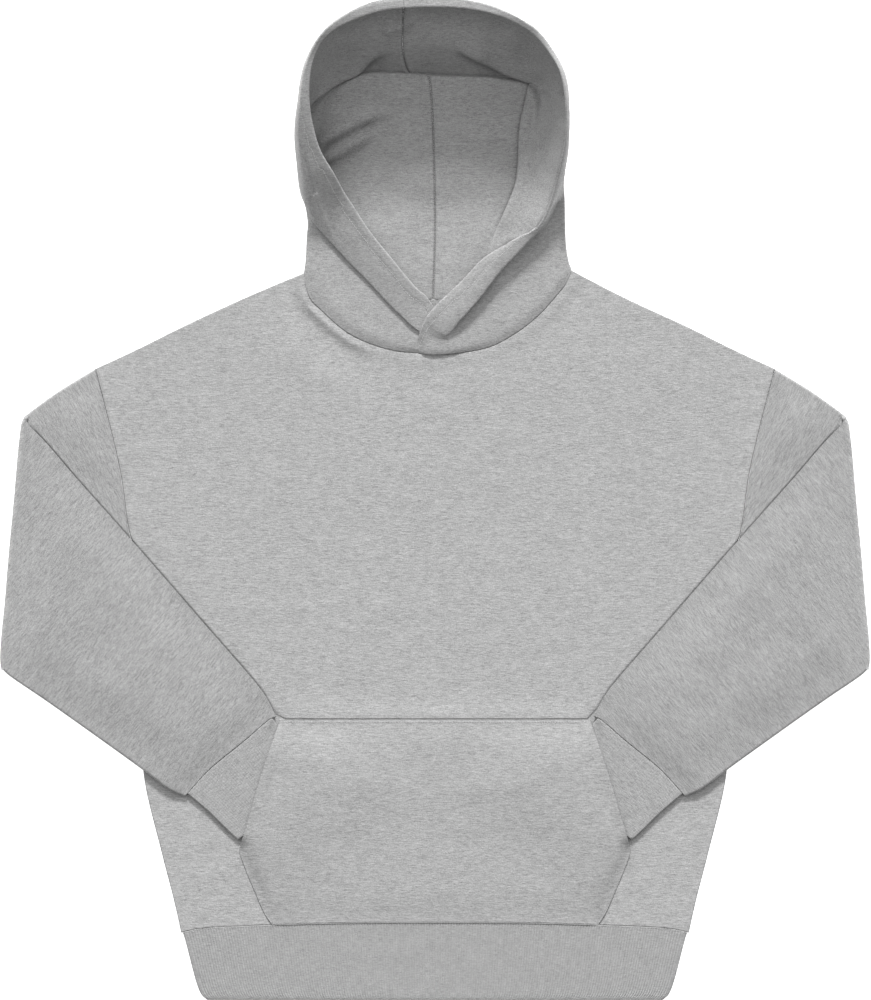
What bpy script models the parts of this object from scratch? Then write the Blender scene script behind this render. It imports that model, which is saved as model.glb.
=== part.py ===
"""A pullover hoodie in heather-grey fleece, laid flat on its back.

The hood stands open above the neck, each sleeve is folded once at the elbow
over the front, and the two cuffs are tucked into the kangaroo pocket.

Every piece is what a maker cuts: two body panels, two sleeves, two ribbed
cuffs, a ribbed hem band, the pocket and the two halves of the hood.

Frame: millimetres in the tables below and metres in the mesh. +X is the
viewer's right, +Y runs up the garment to the hood, +Z is up from the table,
and the origin is on the table under the middle of the garment.
"""

import math

import bmesh
import bpy
import numpy as np

MM = 0.001

# Cloth and lay, in millimetres
FLEECE = 2.0  # wall of the brushed fleece
RIB_WALL = 2.2  # wall of the doubled rib knit
LAYER_GAP = 0.4  # air between two layers that lie on each other
SEAM_GAP = 0.3  # air between two pieces that are sewn together

# Rib knit
RIB_PITCH = 2.6  # one rib to the next
RIB_RISE = 0.45  # how far a rib stands up

# Heights of the layers' middles above the table
BACK_MID = FLEECE / 2
FRONT_MID = FLEECE * 1.5 + LAYER_GAP
PANEL_TOP = 2 * FLEECE + LAYER_GAP
SLEEVE_MID = PANEL_TOP / 2
SLEEVE_OVER_MID = PANEL_TOP + SEAM_GAP + SLEEVE_MID
POCKET_MID = PANEL_TOP + SEAM_GAP + FLEECE / 2
CUFF_HEIGHT = 2 * RIB_WALL + LAYER_GAP
CUFF_LIFT = CUFF_HEIGHT + 0.6  # how far a tucked cuff lifts the pocket
POCKET_CLEARS = 7.0  # the lift stays full this far past the cuff's edge
POCKET_SETTLES = 20.0  # and is gone over this width

# The sleeve's fold at the elbow
FOLD_RADIUS = 3.3  # from the fold's axis to the sleeve's middle
FOLD_SETTLES = 3.0  # over so many mesh steps the folded sleeve settles flat

# Mesh steps
SLEEVE_SHARES = (0.0, 0.17, 0.35, 0.53, 0.7, 0.86, 1.0)  # of the way from the top edge to the underarm
BACK_HEM_STEPS = 22
FRONT_HEM_STEPS = 35

# Outlines of the left half as the viewer sees it, x and y
SHOULDER_LINE = ((-124.3, 218.9), (-180.5, 194.9), (-246.7, 164.2), (-285.1, 145.0), (-326.4, 125.8))
ARMHOLE = ((-326.4, 125.8), (-319.7, 99.8), (-309.1, 57.6), (-301.4, 22.1), (-293.3, -31.7), (-273.6, -88.3))
SIDE_SEAM = ((-273.6, -88.3), (-280.0, -180.0), (-280.3, -259.0), (-263.0, -336.0), (-250.6, -384.0), (-243.6, -415.3))
HEM_SEAM = ((-243.6, -415.3), (-226.0, -411.5), (-187.0, -409.2), (-100.0, -406.2), (0.0, -405.6))

# The sleeve, from the armhole out to the fold and back to the cuff
SLEEVE_TOP_OUT = ((-326.4, 125.8), (-361.0, 104.6), (-388.8, 85.4), (-394.5, 80.5))
SLEEVE_UNDER_OUT = ((-273.6, -88.3), (-340.0, -122.0), (-410.0, -161.0))
FOLD_LINE = ((-397.6, 77.0), (-400.3, 48.0), (-404.4, 0.0), (-409.0, -48.0), (-413.0, -96.0), (-417.0, -138.0), (-415.6, -161.0))
SLEEVE_TOP_BACK = ((-394.5, 80.5), (-373.9, 54.7), (-347.5, 24.0), (-285.1, -46.1), (-220.0, -121.0), (-167.0, -182.4), (-159.4, -193.9), (-152.4, -208.0))
SLEEVE_UNDER_BACK = ((-410.0, -161.0), (-401.0, -175.6), (-374.4, -192.0), (-308.2, -239.0), (-280.3, -259.2), (-254.4, -278.4), (-240.0, -284.6))
CUFF_SEAM = ((-152.4, -208.0), (-165.1, -217.0), (-181.4, -230.4), (-213.1, -255.4), (-223.2, -265.5), (-240.0, -284.6))
CUFF_TOP = ((-155.5, -215.5), (-133.0, -243.0), (-112.0, -268.0))
CUFF_UNDER = ((-238.8, -284.2), (-213.1, -303.4), (-202.0, -314.5), (-189.0, -326.5))

# The kangaroo pocket: bottom corner, end of the opening, top corner
POCKET_SIDE = ((-156.3, -405.2), (-164.6, -392.6), (-172.8, -374.4), (-182.8, -353.3), (-186.6, -331.5), (-176.6, -295.7), (-168.0, -265.9), (-157.4, -234.2), (-149.6, -212.6))
POCKET_TOP_Y = -210.7

# The ribbed hem band: height and half width, from its seam to its folded edge
HEM_BAND = ((-415.9, 242.4), (-474.0, 225.4), (-480.0, 219.0))

# The hood, as sections that run from the neck seam to the face edge. Each row
# is one section and each entry is (x, y, height of the wall's middle).
# At the front a section climbs the neck part, tucks in under the turned-back
# band, comes out at the band's outer fold and runs over it to the face edge.
# At the back it lies on the table to the crease of the crown, then climbs.
HOOD_COLUMNS = ("neck", "floor", "crease", "tuck", "under", "outer", "crest", "face")
HOOD_RIGHT_HALF = (
    # hidden corner under the other half
    ((7.7, 139.7, 3.5), (7.7, 143.5, 4.6), (7.7, 146.5, 5.5), (7.7, 149.5, 6.3), (7.7, 152.5, 7.0), (7.7, 155.5, 7.7), (7.7, 158.0, 8.2), (7.7, 160.5, 8.7)),
    ((-1.0, 139.4, 3.5), (0.0, 143.5, 5.0), (1.0, 147.8, 6.3), (1.4, 152.6, 7.5), (1.9, 157.4, 8.5), (2.4, 162.2, 9.4), (2.9, 169.0, 10.2), (3.4, 175.7, 10.6)),
    # front, from the crossing to the shoulder
    ((-14.4, 140.6, 3.4), (-13.4, 145.0, 5.0), (-12.0, 150.7, 6.5), (-10.5, 156.5, 8.0), (-11.5, 159.5, 10.6), (-13.0, 163.0, 13.4), (-9.6, 174.7, 17.0), (-4.8, 191.0, 16.0)),
    ((-43.2, 144.0, 3.4), (-39.8, 151.7, 5.5), (-35.5, 162.2, 7.5), (-25.0, 179.5, 9.0), (-27.8, 181.4, 12.0), (-35.5, 180.5, 15.5), (-28.8, 192.0, 20.5), (-18.2, 204.0, 19.0)),
    ((-81.6, 158.9, 3.4), (-75.8, 168.0, 6.0), (-68.2, 182.4, 8.0), (-50.9, 205.4, 10.0), (-54.2, 207.4, 13.5), (-62.4, 208.8, 17.5), (-54.7, 219.8, 23.5), (-40.3, 230.4, 22.0)),
    ((-108.5, 181.4, 3.4), (-102.7, 192.0, 6.0), (-94.0, 208.3, 8.5), (-73.9, 234.2, 11.0), (-77.8, 236.2, 14.5), (-86.9, 233.8, 18.5), (-79.7, 245.8, 26.5), (-64.3, 260.6, 25.0)),
    ((-121.0, 195.8, 3.4), (-116.6, 210.2, 6.0), (-112.3, 228.5, 8.5), (-93.1, 260.2, 12.0), (-97.0, 262.6, 16.0), (-106.1, 255.4, 20.0), (-99.0, 268.3, 29.5), (-79.7, 284.2, 28.0)),
    # the fold at the side of the neck
    ((-124.4, 218.5, 2.2), (-123.4, 230.4, 3.4), (-121.9, 249.6, 5.5), (-115.2, 272.6, 10.0), (-116.2, 276.0, 14.0), (-119.5, 273.6, 19.5), (-111.4, 285.1, 32.0), (-88.3, 297.6, 32.0)),
    # back layer and side wall
    ((-112.3, 213.6, 1.0), (-117.6, 235.2, 1.0), (-121.0, 261.1, 1.2), (-122.9, 282.2, 3.5), (-125.8, 289.0, 11.0), (-126.7, 294.7, 21.0), (-120.5, 306.2, 35.0), (-96.0, 312.0, 35.0)),
    ((-89.3, 205.0, 1.0), (-104.6, 244.8, 1.0), (-118.1, 283.2, 1.0), (-126.2, 311.0, 2.8), (-131.5, 320.6, 13.0), (-133.7, 334.1, 27.0), (-128.2, 338.9, 41.0), (-109.9, 336.0, 41.0)),
    ((-64.3, 198.7, 1.0), (-85.4, 254.4, 1.0), (-106.6, 316.8, 1.0), (-124.3, 364.8, 3.0), (-129.6, 371.5, 20.0), (-131.2, 377.3, 39.0), (-128.2, 380.2, 54.0), (-120.0, 381.1, 53.0)),
    # crown
    ((-43.2, 195.4, 1.0), (-60.5, 264.0, 1.0), (-97.0, 383.0, 7.0), (-103.7, 392.6, 3.5), (-116.2, 409.9, 26.0), (-122.9, 420.0, 47.0), (-120.5, 422.4, 62.0), (-114.7, 426.2, 62.0)),
    ((-23.0, 193.4, 1.0), (-33.6, 268.8, 1.0), (-66.2, 406.1, 10.0), (-71.0, 412.3, 3.5), (-86.4, 434.9, 32.0), (-102.7, 451.7, 57.0), (-101.3, 452.2, 71.0), (-97.0, 449.3, 70.0)),
    ((-12.5, 193.0, 1.0), (-15.4, 268.8, 1.0), (-34.6, 408.0, 11.0), (-44.2, 413.3, 3.5), (-51.8, 440.6, 36.0), (-60.5, 475.4, 60.0), (-60.0, 475.8, 74.0), (-57.6, 466.1, 73.0)),
)
HOOD_CENTRE_SEAM = ((-1.9, 193.0, 1.0), (0.0, 264.0, 1.0), (-6.2, 406.1, 11.0), (-25.9, 412.8, 3.5), (-31.2, 438.7, 36.0), (-29.8, 478.8, 61.0), (-29.8, 479.0, 75.0), (-29.8, 470.4, 75.0))
HOOD_LEFT_HALF = (
    # crown
    ((11.5, 193.0, 1.0), (16.3, 268.8, 1.0), (29.8, 404.2, 11.0), (22.1, 411.4, 3.5), (27.8, 438.7, 36.0), (41.3, 475.2, 60.0), (41.3, 475.4, 74.0), (41.3, 468.0, 74.0)),
    ((26.9, 193.6, 1.0), (33.6, 268.8, 1.0), (60.5, 402.2, 10.0), (64.3, 408.5, 3.5), (78.7, 432.0, 32.0), (93.1, 450.7, 58.0), (92.2, 452.6, 72.0), (87.8, 450.2, 71.0)),
    ((46.1, 195.1, 1.0), (59.5, 264.0, 1.0), (90.2, 386.9, 7.0), (97.0, 397.4, 6.0), (107.5, 410.9, 27.0), (116.6, 421.0, 49.0), (116.2, 423.4, 61.0), (112.8, 422.6, 66.0)),
    # side wall and back layer
    ((67.2, 198.2, 1.0), (79.7, 249.6, 1.0), (93.1, 316.8, 4.0), (101.8, 360.0, 12.0), (114.2, 376.3, 28.0), (126.7, 387.8, 46.0), (126.6, 390.5, 57.0), (123.6, 392.0, 63.0)),
    ((91.2, 204.5, 1.0), (97.0, 249.6, 1.2), (97.0, 292.8, 4.0), (101.8, 326.4, 12.0), (115.2, 342.7, 25.0), (128.4, 355.2, 37.0), (128.0, 357.6, 48.0), (125.4, 359.6, 54.0)),
    ((117.1, 213.6, 1.0), (120.5, 240.0, 1.0), (120.4, 273.6, 2.5), (116.2, 295.7, 8.0), (120.9, 309.1, 18.0), (124.4, 320.6, 30.0), (123.6, 323.0, 40.0), (121.0, 325.5, 46.0)),
    # the fold at the side of the neck
    ((130.6, 220.6, 2.2), (127.4, 229.0, 3.2), (124.4, 251.5, 5.5), (123.4, 290.9, 10.5), (122.4, 297.6, 17.0), (121.4, 302.6, 26.0), (119.3, 303.8, 34.0), (116.2, 304.8, 40.0)),
    # front, from the shoulder to the crossing
    ((125.8, 208.3, 3.4), (125.3, 220.8, 5.5), (123.4, 240.0, 8.0), (114.7, 280.3, 13.0), (113.8, 283.7, 18.0), (113.3, 286.2, 23.0), (111.4, 283.8, 30.0), (108.0, 280.3, 36.0)),
    ((117.1, 196.8, 3.4), (115.7, 208.3, 6.0), (112.3, 226.6, 8.5), (102.7, 261.1, 12.5), (103.2, 264.5, 17.0), (104.6, 267.6, 21.0), (101.9, 265.4, 28.0), (97.4, 260.6, 33.0)),
    ((100.8, 178.6, 3.4), (98.9, 189.1, 6.0), (94.1, 206.4, 8.5), (80.6, 238.1, 12.0), (81.6, 241.9, 16.0), (85.0, 244.3, 20.0), (79.7, 249.6, 27.5), (71.0, 246.8, 28.0)),
    ((78.7, 160.8, 3.4), (76.8, 169.9, 6.0), (71.5, 184.3, 8.5), (55.7, 212.2, 11.0), (57.1, 216.0, 14.5), (61.9, 219.8, 19.0), (56.6, 225.6, 26.5), (46.1, 231.8, 26.0)),
    ((52.8, 146.9, 3.4), (51.4, 153.6, 6.0), (48.0, 165.1, 8.0), (34.6, 189.1, 10.5), (36.0, 192.0, 14.0), (41.8, 193.4, 18.5), (36.5, 201.1, 25.0), (25.9, 210.7, 24.0)),
    ((28.8, 141.8, 3.4), (27.8, 146.9, 5.5), (25.9, 153.6, 7.5), (17.3, 168.0, 10.5), (18.2, 170.9, 14.0), (23.0, 172.3, 18.0), (19.2, 181.0, 24.0), (9.1, 194.9, 23.0)),
    # corner that lies over the other half
    ((12.5, 139.9, 5.8), (12.8, 144.5, 8.0), (12.5, 149.3, 10.0), (12.5, 154.6, 12.5), (11.5, 157.4, 15.0), (10.6, 158.9, 18.0), (6.7, 169.0, 23.0), (-0.5, 185.3, 23.0)),
    ((-3.8, 139.2, 6.0), (-4.3, 144.0, 8.3), (-4.8, 148.8, 11.0), (-5.3, 153.6, 14.0), (-5.8, 158.4, 17.0), (-6.2, 163.2, 19.5), (-7.2, 169.0, 21.8), (-9.1, 174.2, 22.5)),
    ((-16.3, 140.8, 6.2), (-16.3, 143.9, 7.9), (-16.5, 145.7, 9.0), (-16.6, 147.5, 10.1), (-16.7, 149.3, 11.2), (-16.8, 151.1, 12.4), (-16.8, 152.8, 13.6), (-16.8, 154.5, 14.8)),
)
HOOD_STEPS_ALONG = (2, 4, 2, 2, 2, 2, 2)  # mesh steps between the columns
HOOD_STEPS_ACROSS = 2  # mesh steps between the sections
HOOD_NECK_GAP = 0.45  # the hood's edge to the panels' neck edges
HOOD_SEAM_GAP = 0.4  # the two halves at their curved centre seam
HOOD_CREASE_GAP = 1.0  # and where that seam slants over the crown's crease
FOLD_TUCKS_IN = 0.9  # how far the fold at the side of the neck keeps off the panels' corner
FOLD_PINCH = 0.45  # share of the wall that a tight fold squeezes out

# The long soft fold inside the hood on the viewer's right, raised on its right
HOOD_SIDE_FOLD = ((45.0, 231.5), (62.4, 266.9), (73.0, 288.0), (79.3, 305.3), (81.6, 338.9), (83.1, 361.0), (90.2, 386.0))
SIDE_FOLD_RISE = 5.0
SIDE_FOLD_STEEP = 9.0  # width of the steep flank
SIDE_FOLD_SLOPE = 34.0  # width of the gentle flank


def clear_scene():
    for item in list(bpy.data.objects):
        bpy.data.objects.remove(item, do_unlink=True)


def smoothstep(x):
    x = np.clip(x, 0.0, 1.0)
    return x * x * (3 - 2 * x)


def slopes(knots, values):
    """Slope at each knot of a curve that never swings past its points."""
    shape = (-1,) + (1,) * (values.ndim - 1)
    step = np.diff(knots).reshape(shape)
    rise = np.diff(values, axis=0) / step
    slope = np.empty_like(values)
    slope[0], slope[-1] = rise[0], rise[-1]
    before, after = rise[:-1], rise[1:]
    w1, w2 = 2 * step[1:] + step[:-1], step[1:] + 2 * step[:-1]
    same = before * after > 0
    safe_b, safe_a = np.where(same, before, 1.0), np.where(same, after, 1.0)
    slope[1:-1] = np.where(same, (w1 + w2) / (w1 / safe_b + w2 / safe_a), 0.0)
    return slope


def soft_slopes(knots, values):
    """Slope at each knot from both of its neighbours, for round outlines."""
    shape = (-1,) + (1,) * (values.ndim - 1)
    step = np.diff(knots).reshape(shape)
    rise = np.diff(values, axis=0) / step
    slope = np.empty_like(values)
    slope[0], slope[-1] = rise[0], rise[-1]
    slope[1:-1] = (rise[:-1] * step[1:] + rise[1:] * step[:-1]) / (step[:-1] + step[1:])
    return slope


def curve(points, steps, find=soft_slopes, knots=None):
    """Points along a smooth curve through the given ones, with so many steps in each span."""
    values = np.asarray(points, float)
    spans = len(values) - 1
    if isinstance(steps, int):
        steps = (steps,) * spans
    if knots is None:
        chord = np.linalg.norm(np.diff(values.reshape(len(values), -1), axis=0), axis=1)
        knots = np.concatenate([[0.0], np.cumsum(np.sqrt(np.maximum(chord, 1e-6)))])
    slope = find(knots, values)
    out = []
    for i in range(spans):
        h = knots[i + 1] - knots[i]
        for k in range(steps[i] + (i == spans - 1)):
            t = k / steps[i]
            a, b = (1 + 2 * t) * (1 - t) ** 2, t * (1 - t) ** 2
            c, d = t * t * (3 - 2 * t), t * t * (t - 1)
            out.append(a * values[i] + b * h * slope[i] + c * values[i + 1] + d * h * slope[i + 1])
    return np.array(out)


def at_shares(points, shares):
    """The points of a line that lie at these shares of its length."""
    line = curve(points, 12)
    along = np.concatenate([[0.0], np.cumsum(np.linalg.norm(np.diff(line, axis=0), axis=1))])
    at = np.asarray(shares) * along[-1]
    return np.stack([np.interp(at, along, line[:, k]) for k in range(line.shape[1])], axis=1)


def even(points, count):
    """The same line as count equal steps."""
    return at_shares(points, np.linspace(0.0, 1.0, count + 1))


def join_runs(*runs):
    """Runs that share their end points, as one line."""
    return np.concatenate([runs[0]] + [run[1:] for run in runs[1:]])


def mirror(points):
    return np.asarray(points, float) * np.array([-1.0, 1.0])


def patch(near, far, first, last):
    """A sheet of plan points that fills four outlines. near and far run across, first and last run along."""
    across, along = len(near), len(first)
    u = (np.cumsum(np.concatenate([[0], np.linalg.norm(np.diff(far, axis=0), axis=1)])))
    u = (u / u[-1])[None, :, None] if across > 1 else np.zeros((1, 1, 1))
    v = np.linspace(0, 1, along)[:, None, None]
    flat = (1 - v) * near[None] + v * far[None] + (1 - u) * first[:, None] + u * last[:, None]
    corners = (1 - u) * (1 - v) * near[0] + u * (1 - v) * near[-1] + (1 - u) * v * far[0] + u * v * far[-1]
    return flat - corners


def raise_to(plan, height):
    """Plan points with a height for each."""
    height = np.broadcast_to(height, plan.shape[:-1])
    return np.concatenate([plan, height[..., None]], axis=-1)


def fabric(name, colour, roughness):
    material = bpy.data.materials.new(name)
    material.use_nodes = True
    shader = material.node_tree.nodes["Principled BSDF"]
    shader.inputs["Base Color"].default_value = (*colour, 1.0)
    shader.inputs["Roughness"].default_value = roughness
    shader.inputs["Metallic"].default_value = 0.0
    return material


def add_object(name, mesh, material, group):
    piece = bpy.data.objects.new(name, mesh)
    mesh.materials.append(material)
    group.objects.link(piece)
    return piece


def sheet(name, grid, material, group, wall=FLEECE, ring=False):
    """A wall of cloth round the middle surface that the grid gives. A ring grid closes on itself across."""
    rows, columns = grid.shape[:2]
    form = bmesh.new()
    points = [[form.verts.new(p * MM) for p in row] for row in grid]
    for i in range(rows - 1):
        for j in range(columns if ring else columns - 1):
            k = (j + 1) % columns
            form.faces.new((points[i][j], points[i][k], points[i + 1][k], points[i + 1][j]))
    mesh = bpy.data.meshes.new(name)
    form.to_mesh(mesh)
    form.free()
    mesh.shade_smooth()
    piece = add_object(name, mesh, material, group)
    solid = piece.modifiers.new("Cloth wall", "SOLIDIFY")
    solid.thickness = wall * MM
    solid.offset = 0.0
    even_light = piece.modifiers.new("Even shading", "WEIGHTED_NORMAL")
    even_light.keep_sharp = True
    return piece


def tube(name, outer, inner, stations, material, group):
    """A tube of doubled cloth whose outside carries ribs over a plain inside.

    outer[ring] and inner[ring] are closed loops. Outer point stations[k] lies
    over inner point k, and the points between two stations are ribs.
    """
    form = bmesh.new()
    out = [[form.verts.new(p * MM) for p in loop] for loop in outer]
    within = [[form.verts.new(p * MM) for p in loop] for loop in inner]
    for loops, flip in ((out, False), (within, True)):
        for i in range(len(loops) - 1):
            for j in range(len(loops[i])):
                k = (j + 1) % len(loops[i])
                face = (loops[i][j], loops[i][k], loops[i + 1][k], loops[i + 1][j])
                form.faces.new(face[::-1] if flip else face)
    for end, flip in ((0, True), (-1, False)):
        for k in range(len(stations)):
            last = stations[k + 1] if k + 1 < len(stations) else len(out[end])
            run = [out[end][m % len(out[end])] for m in range(stations[k], last + 1)]
            face = run + [within[end][(k + 1) % len(stations)], within[end][k]]
            form.faces.new(face[::-1] if flip else face)
    bmesh.ops.recalc_face_normals(form, faces=form.faces)
    mesh = bpy.data.meshes.new(name)
    form.to_mesh(mesh)
    form.free()
    return add_object(name, mesh, material, group)


def hem_line(count):
    """The seam above the hem band, from side to side."""
    half = np.array(HEM_SEAM)
    return even(np.concatenate([half, mirror(half)[::-1][1:]]), count)


def build_panels(fleece, group):
    """Back and front, each from its own outline, one on the other."""
    neck = hood_surface()[:, 0, :2]
    left_fold, right_fold = (len(HOOD_RIGHT_HALF) - 7) * HOOD_STEPS_ACROSS, (len(HOOD_RIGHT_HALF) + 7) * HOOD_STEPS_ACROSS
    front_neck = np.concatenate([neck[left_fold:3:-1], neck[-3 : right_fold - 1 : -1]])
    back_neck = neck[left_fold : right_fold + 1 : HOOD_STEPS_ACROSS]
    side = join_runs(even(SIDE_SEAM[::-1], 6), at_shares(ARMHOLE, SLEEVE_SHARES)[::-1])
    for name, neck, hem_steps, height in (
        ("back_panel", back_neck, BACK_HEM_STEPS, BACK_MID),
        ("front_panel", front_neck, FRONT_HEM_STEPS, FRONT_MID),
    ):
        left, right = np.array(SHOULDER_LINE[::-1]), mirror(SHOULDER_LINE)
        left[-1], right[0] = neck[0], neck[-1]
        steps = (hem_steps - len(neck) + 1) // 2
        top = join_runs(even(left, steps), neck, even(right, steps))
        grid = patch(hem_line(hem_steps), top, side, mirror(side))
        sheet(name, raise_to(grid, height), fleece, group)


def sleeve_rings():
    """The sleeve as rings from the armhole, round the fold and on to the cuff seam. Each ring is a flat loop with two walls."""
    reach = FOLD_RADIUS + SLEEVE_MID
    axis = at_shares(FOLD_LINE, SLEEVE_SHARES) + np.array([reach, 0.0])
    armhole = at_shares(ARMHOLE, SLEEVE_SHARES) + np.array([-SEAM_GAP, 0.0])
    top_out = even(SLEEVE_TOP_OUT, 4)
    under_out = even(SLEEVE_UNDER_OUT, 4)
    top_out[-1], under_out[-1] = axis[0], axis[-1]
    top_out[0], under_out[0] = armhole[0], armhole[-1]
    lower = patch(armhole, axis, top_out, under_out)
    cuff = at_shares(CUFF_SEAM, SLEEVE_SHARES) + np.array([-0.3, 0.3])
    back = 9
    top_back, under_back = even(SLEEVE_TOP_BACK, back), even(SLEEVE_UNDER_BACK, back)
    top_back[0], under_back[0] = axis[0], axis[-1]
    top_back[-1], under_back[-1] = cuff[0], cuff[-1]
    upper = patch(axis, cuff, top_back, under_back)

    middles, normals = [], []
    for row in lower[:-1]:
        middles.append(raise_to(row, SLEEVE_MID))
        normals.append((0.0, 0.0, 1.0))
    turns = 6
    for k in range(turns + 1):
        angle = math.pi * (k / turns - 0.5)
        shift = np.array([-math.cos(angle), 0.0, math.sin(angle)])
        middle = raise_to(axis, SLEEVE_MID + FOLD_RADIUS) + shift * FOLD_RADIUS
        middles.append(middle)
        normals.append(-shift)
    puff = 2 * FOLD_RADIUS + SLEEVE_MID - SLEEVE_OVER_MID
    for number, row in enumerate(upper[1:], 1):
        height = SLEEVE_OVER_MID + puff * (1 - smoothstep(number / FOLD_SETTLES))
        middles.append(raise_to(row, height))
        normals.append((0.0, 0.0, -1.0))

    half = (FLEECE + LAYER_GAP) / 2
    edge = half + FLEECE / 2
    rings = []
    for middle, normal in zip(middles, normals):
        normal = np.array(normal)
        ends = []
        for end, nearby in ((middle[0], middle[1]), (middle[-1], middle[-2])):
            inward = (nearby - end) / np.linalg.norm(nearby - end)
            ends.append((end, inward))
        line = middle.copy()
        line[0] = ends[0][0] + ends[0][1] * edge
        line[-1] = ends[1][0] + ends[1][1] * edge
        front = [p + normal * half for p in line]
        behind = [p - normal * half for p in line[::-1]]
        caps = []
        for (end, inward), start in zip(ends[::-1], (45, 45)):
            cap = []
            for degrees in (45, 90, 135):
                a = math.radians(degrees)
                cap.append(end + inward * (edge - half * math.sin(a)) + normal * half * math.cos(a))
            caps.append(cap)
        rings.append(front + caps[0] + behind + caps[1][::-1])
    return np.array(rings)


def build_sleeves(fleece, group):
    rings = sleeve_rings()
    sheet("sleeve_right", rings, fleece, group, ring=True)
    sheet("sleeve_left", rings[:, ::-1] * np.array([-1.0, 1.0, 1.0]), fleece, group, ring=True)


def ribbed_loops(rows, low, ribs_per_station=4):
    """Outer and inner loops for a flat ribbed tube. rows are (plan line, outer inset, drop), from one end of the tube to the other, and low is the height of its underside."""
    outer, inner, stations = [], [], []
    for number, (line, drop) in enumerate(rows):
        count = len(line) - 1  # two steps for each rib
        left, right = line[0], line[-1]
        direction = (right - left) / np.linalg.norm(right - left)
        top = low + 2 * RIB_WALL + LAYER_GAP - drop
        bottom = low + drop * 0.6
        middle = (top + bottom) / 2
        loop, within, marks = [], [], []
        for m, p in enumerate(line):
            rise = RIB_RISE if m % 2 else 0.0
            if m % (2 * ribs_per_station) == 0 or m == count:
                marks.append(m)
                inset = RIB_WALL if m == 0 else -RIB_WALL if m == count else 0.0
                within.append((*(p + direction * inset), middle + LAYER_GAP / 2))
            loop.append((*p, top - RIB_RISE + rise))
        marks.append(len(loop))
        loop.append((*(right + direction * RIB_WALL * 0.6), middle))
        within.append((*(right - direction * (RIB_WALL - 0.4)), middle))
        for m in range(count, -1, -2 * ribs_per_station):
            marks.append(len(loop))
            inset = RIB_WALL if m == 0 else -RIB_WALL if m == count else 0.0
            within.append((*(line[m] + direction * inset), middle - LAYER_GAP / 2))
            loop.append((*line[m], bottom))
        marks.append(len(loop))
        loop.append((*(left - direction * RIB_WALL * 0.6), middle))
        within.append((*(left + direction * (RIB_WALL - 0.4)), middle))
        outer.append(np.array(loop))
        inner.append(np.array(within))
        stations = marks
    return outer, inner, stations


def build_hem(rib, group):
    """The hem band: one ring of doubled rib, flat, with its ribs up the band."""
    count = 8 * round(HEM_BAND[0][1] / RIB_PITCH / 2)
    panels = [hem_line(steps) for steps in (BACK_HEM_STEPS, FRONT_HEM_STEPS)]
    rows = []
    for number, (y, half_width) in enumerate(HEM_BAND):
        x = np.linspace(-1, 1, count + 1) * (half_width - RIB_WALL * 0.6)
        height = np.full_like(x, y)
        if number == 0:
            height = np.min([np.interp(x, line[:, 0], line[:, 1]) for line in panels], axis=0) - SEAM_GAP
        rows.append((np.stack([x, height], axis=1), 1.0 if number == len(HEM_BAND) - 1 else 0.0))
    outer, inner, stations = ribbed_loops(rows, 0.0)
    tube("hem_rib", outer, inner, stations, rib, group)


def build_cuffs(rib, group):
    """The cuffs: flat ribbed tubes that go from the sleeves' ends into the pocket."""
    ribs = 4 * round(110.0 / RIB_PITCH / 4)
    count = 2 * ribs
    top, under = np.array(CUFF_TOP), np.array(CUFF_UNDER)
    seam = even(CUFF_SEAM, 24) + np.array([0.25, -0.25])
    seam[0], seam[-1] = top[0], under[0]
    for side, name in ((1, "cuff_right"), (-1, "cuff_left")):
        rows = []
        for v, drop in ((0.0, 0.0), (0.5, 0.0), (0.96, 0.0), (1.0, 1.0)):
            a = curve(top, 10)[round(v * 20)]
            b = curve(under, 10)[round(v * 30)]
            if v == 0.0:
                line = even(seam[1:-1], count)
            else:
                across = np.linspace(0, 1, count + 1)[:, None]
                line = a + (b - a) * (0.012 + 0.976 * across)
            line = line * np.array([side, 1.0])
            rows.append((line[::-1] if side > 0 else line, drop))
        outer, inner, stations = ribbed_loops(rows, PANEL_TOP + SEAM_GAP)
        tube(name, outer, inner, stations, rib, group)


def distance_outside(x, y, corners):
    """How far a plan point lies outside a convex shape whose corners run anticlockwise, and negative inside."""
    far = np.full(np.shape(x), -1e9)
    for (ax, ay), (bx, by) in zip(corners, corners[1:] + corners[:1]):
        length = math.hypot(bx - ax, by - ay)
        far = np.maximum(far, ((x - ax) * (by - ay) - (y - ay) * (bx - ax)) / length)
    return far


def pocket_height(x, y):
    """The pocket's middle: flat on the front, and lifted over the tucked cuffs."""
    side = np.abs(x)
    cuff = [(-CUFF_TOP[0][0], CUFF_TOP[0][1]), (-CUFF_TOP[-1][0], CUFF_TOP[-1][1]), (-CUFF_UNDER[-1][0], CUFF_UNDER[-1][1]), (-CUFF_UNDER[0][0], CUFF_UNDER[0][1])]
    outside = distance_outside(side, y, cuff)
    return POCKET_MID + CUFF_LIFT * (1 - smoothstep((outside - POCKET_CLEARS) / POCKET_SETTLES))


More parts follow.
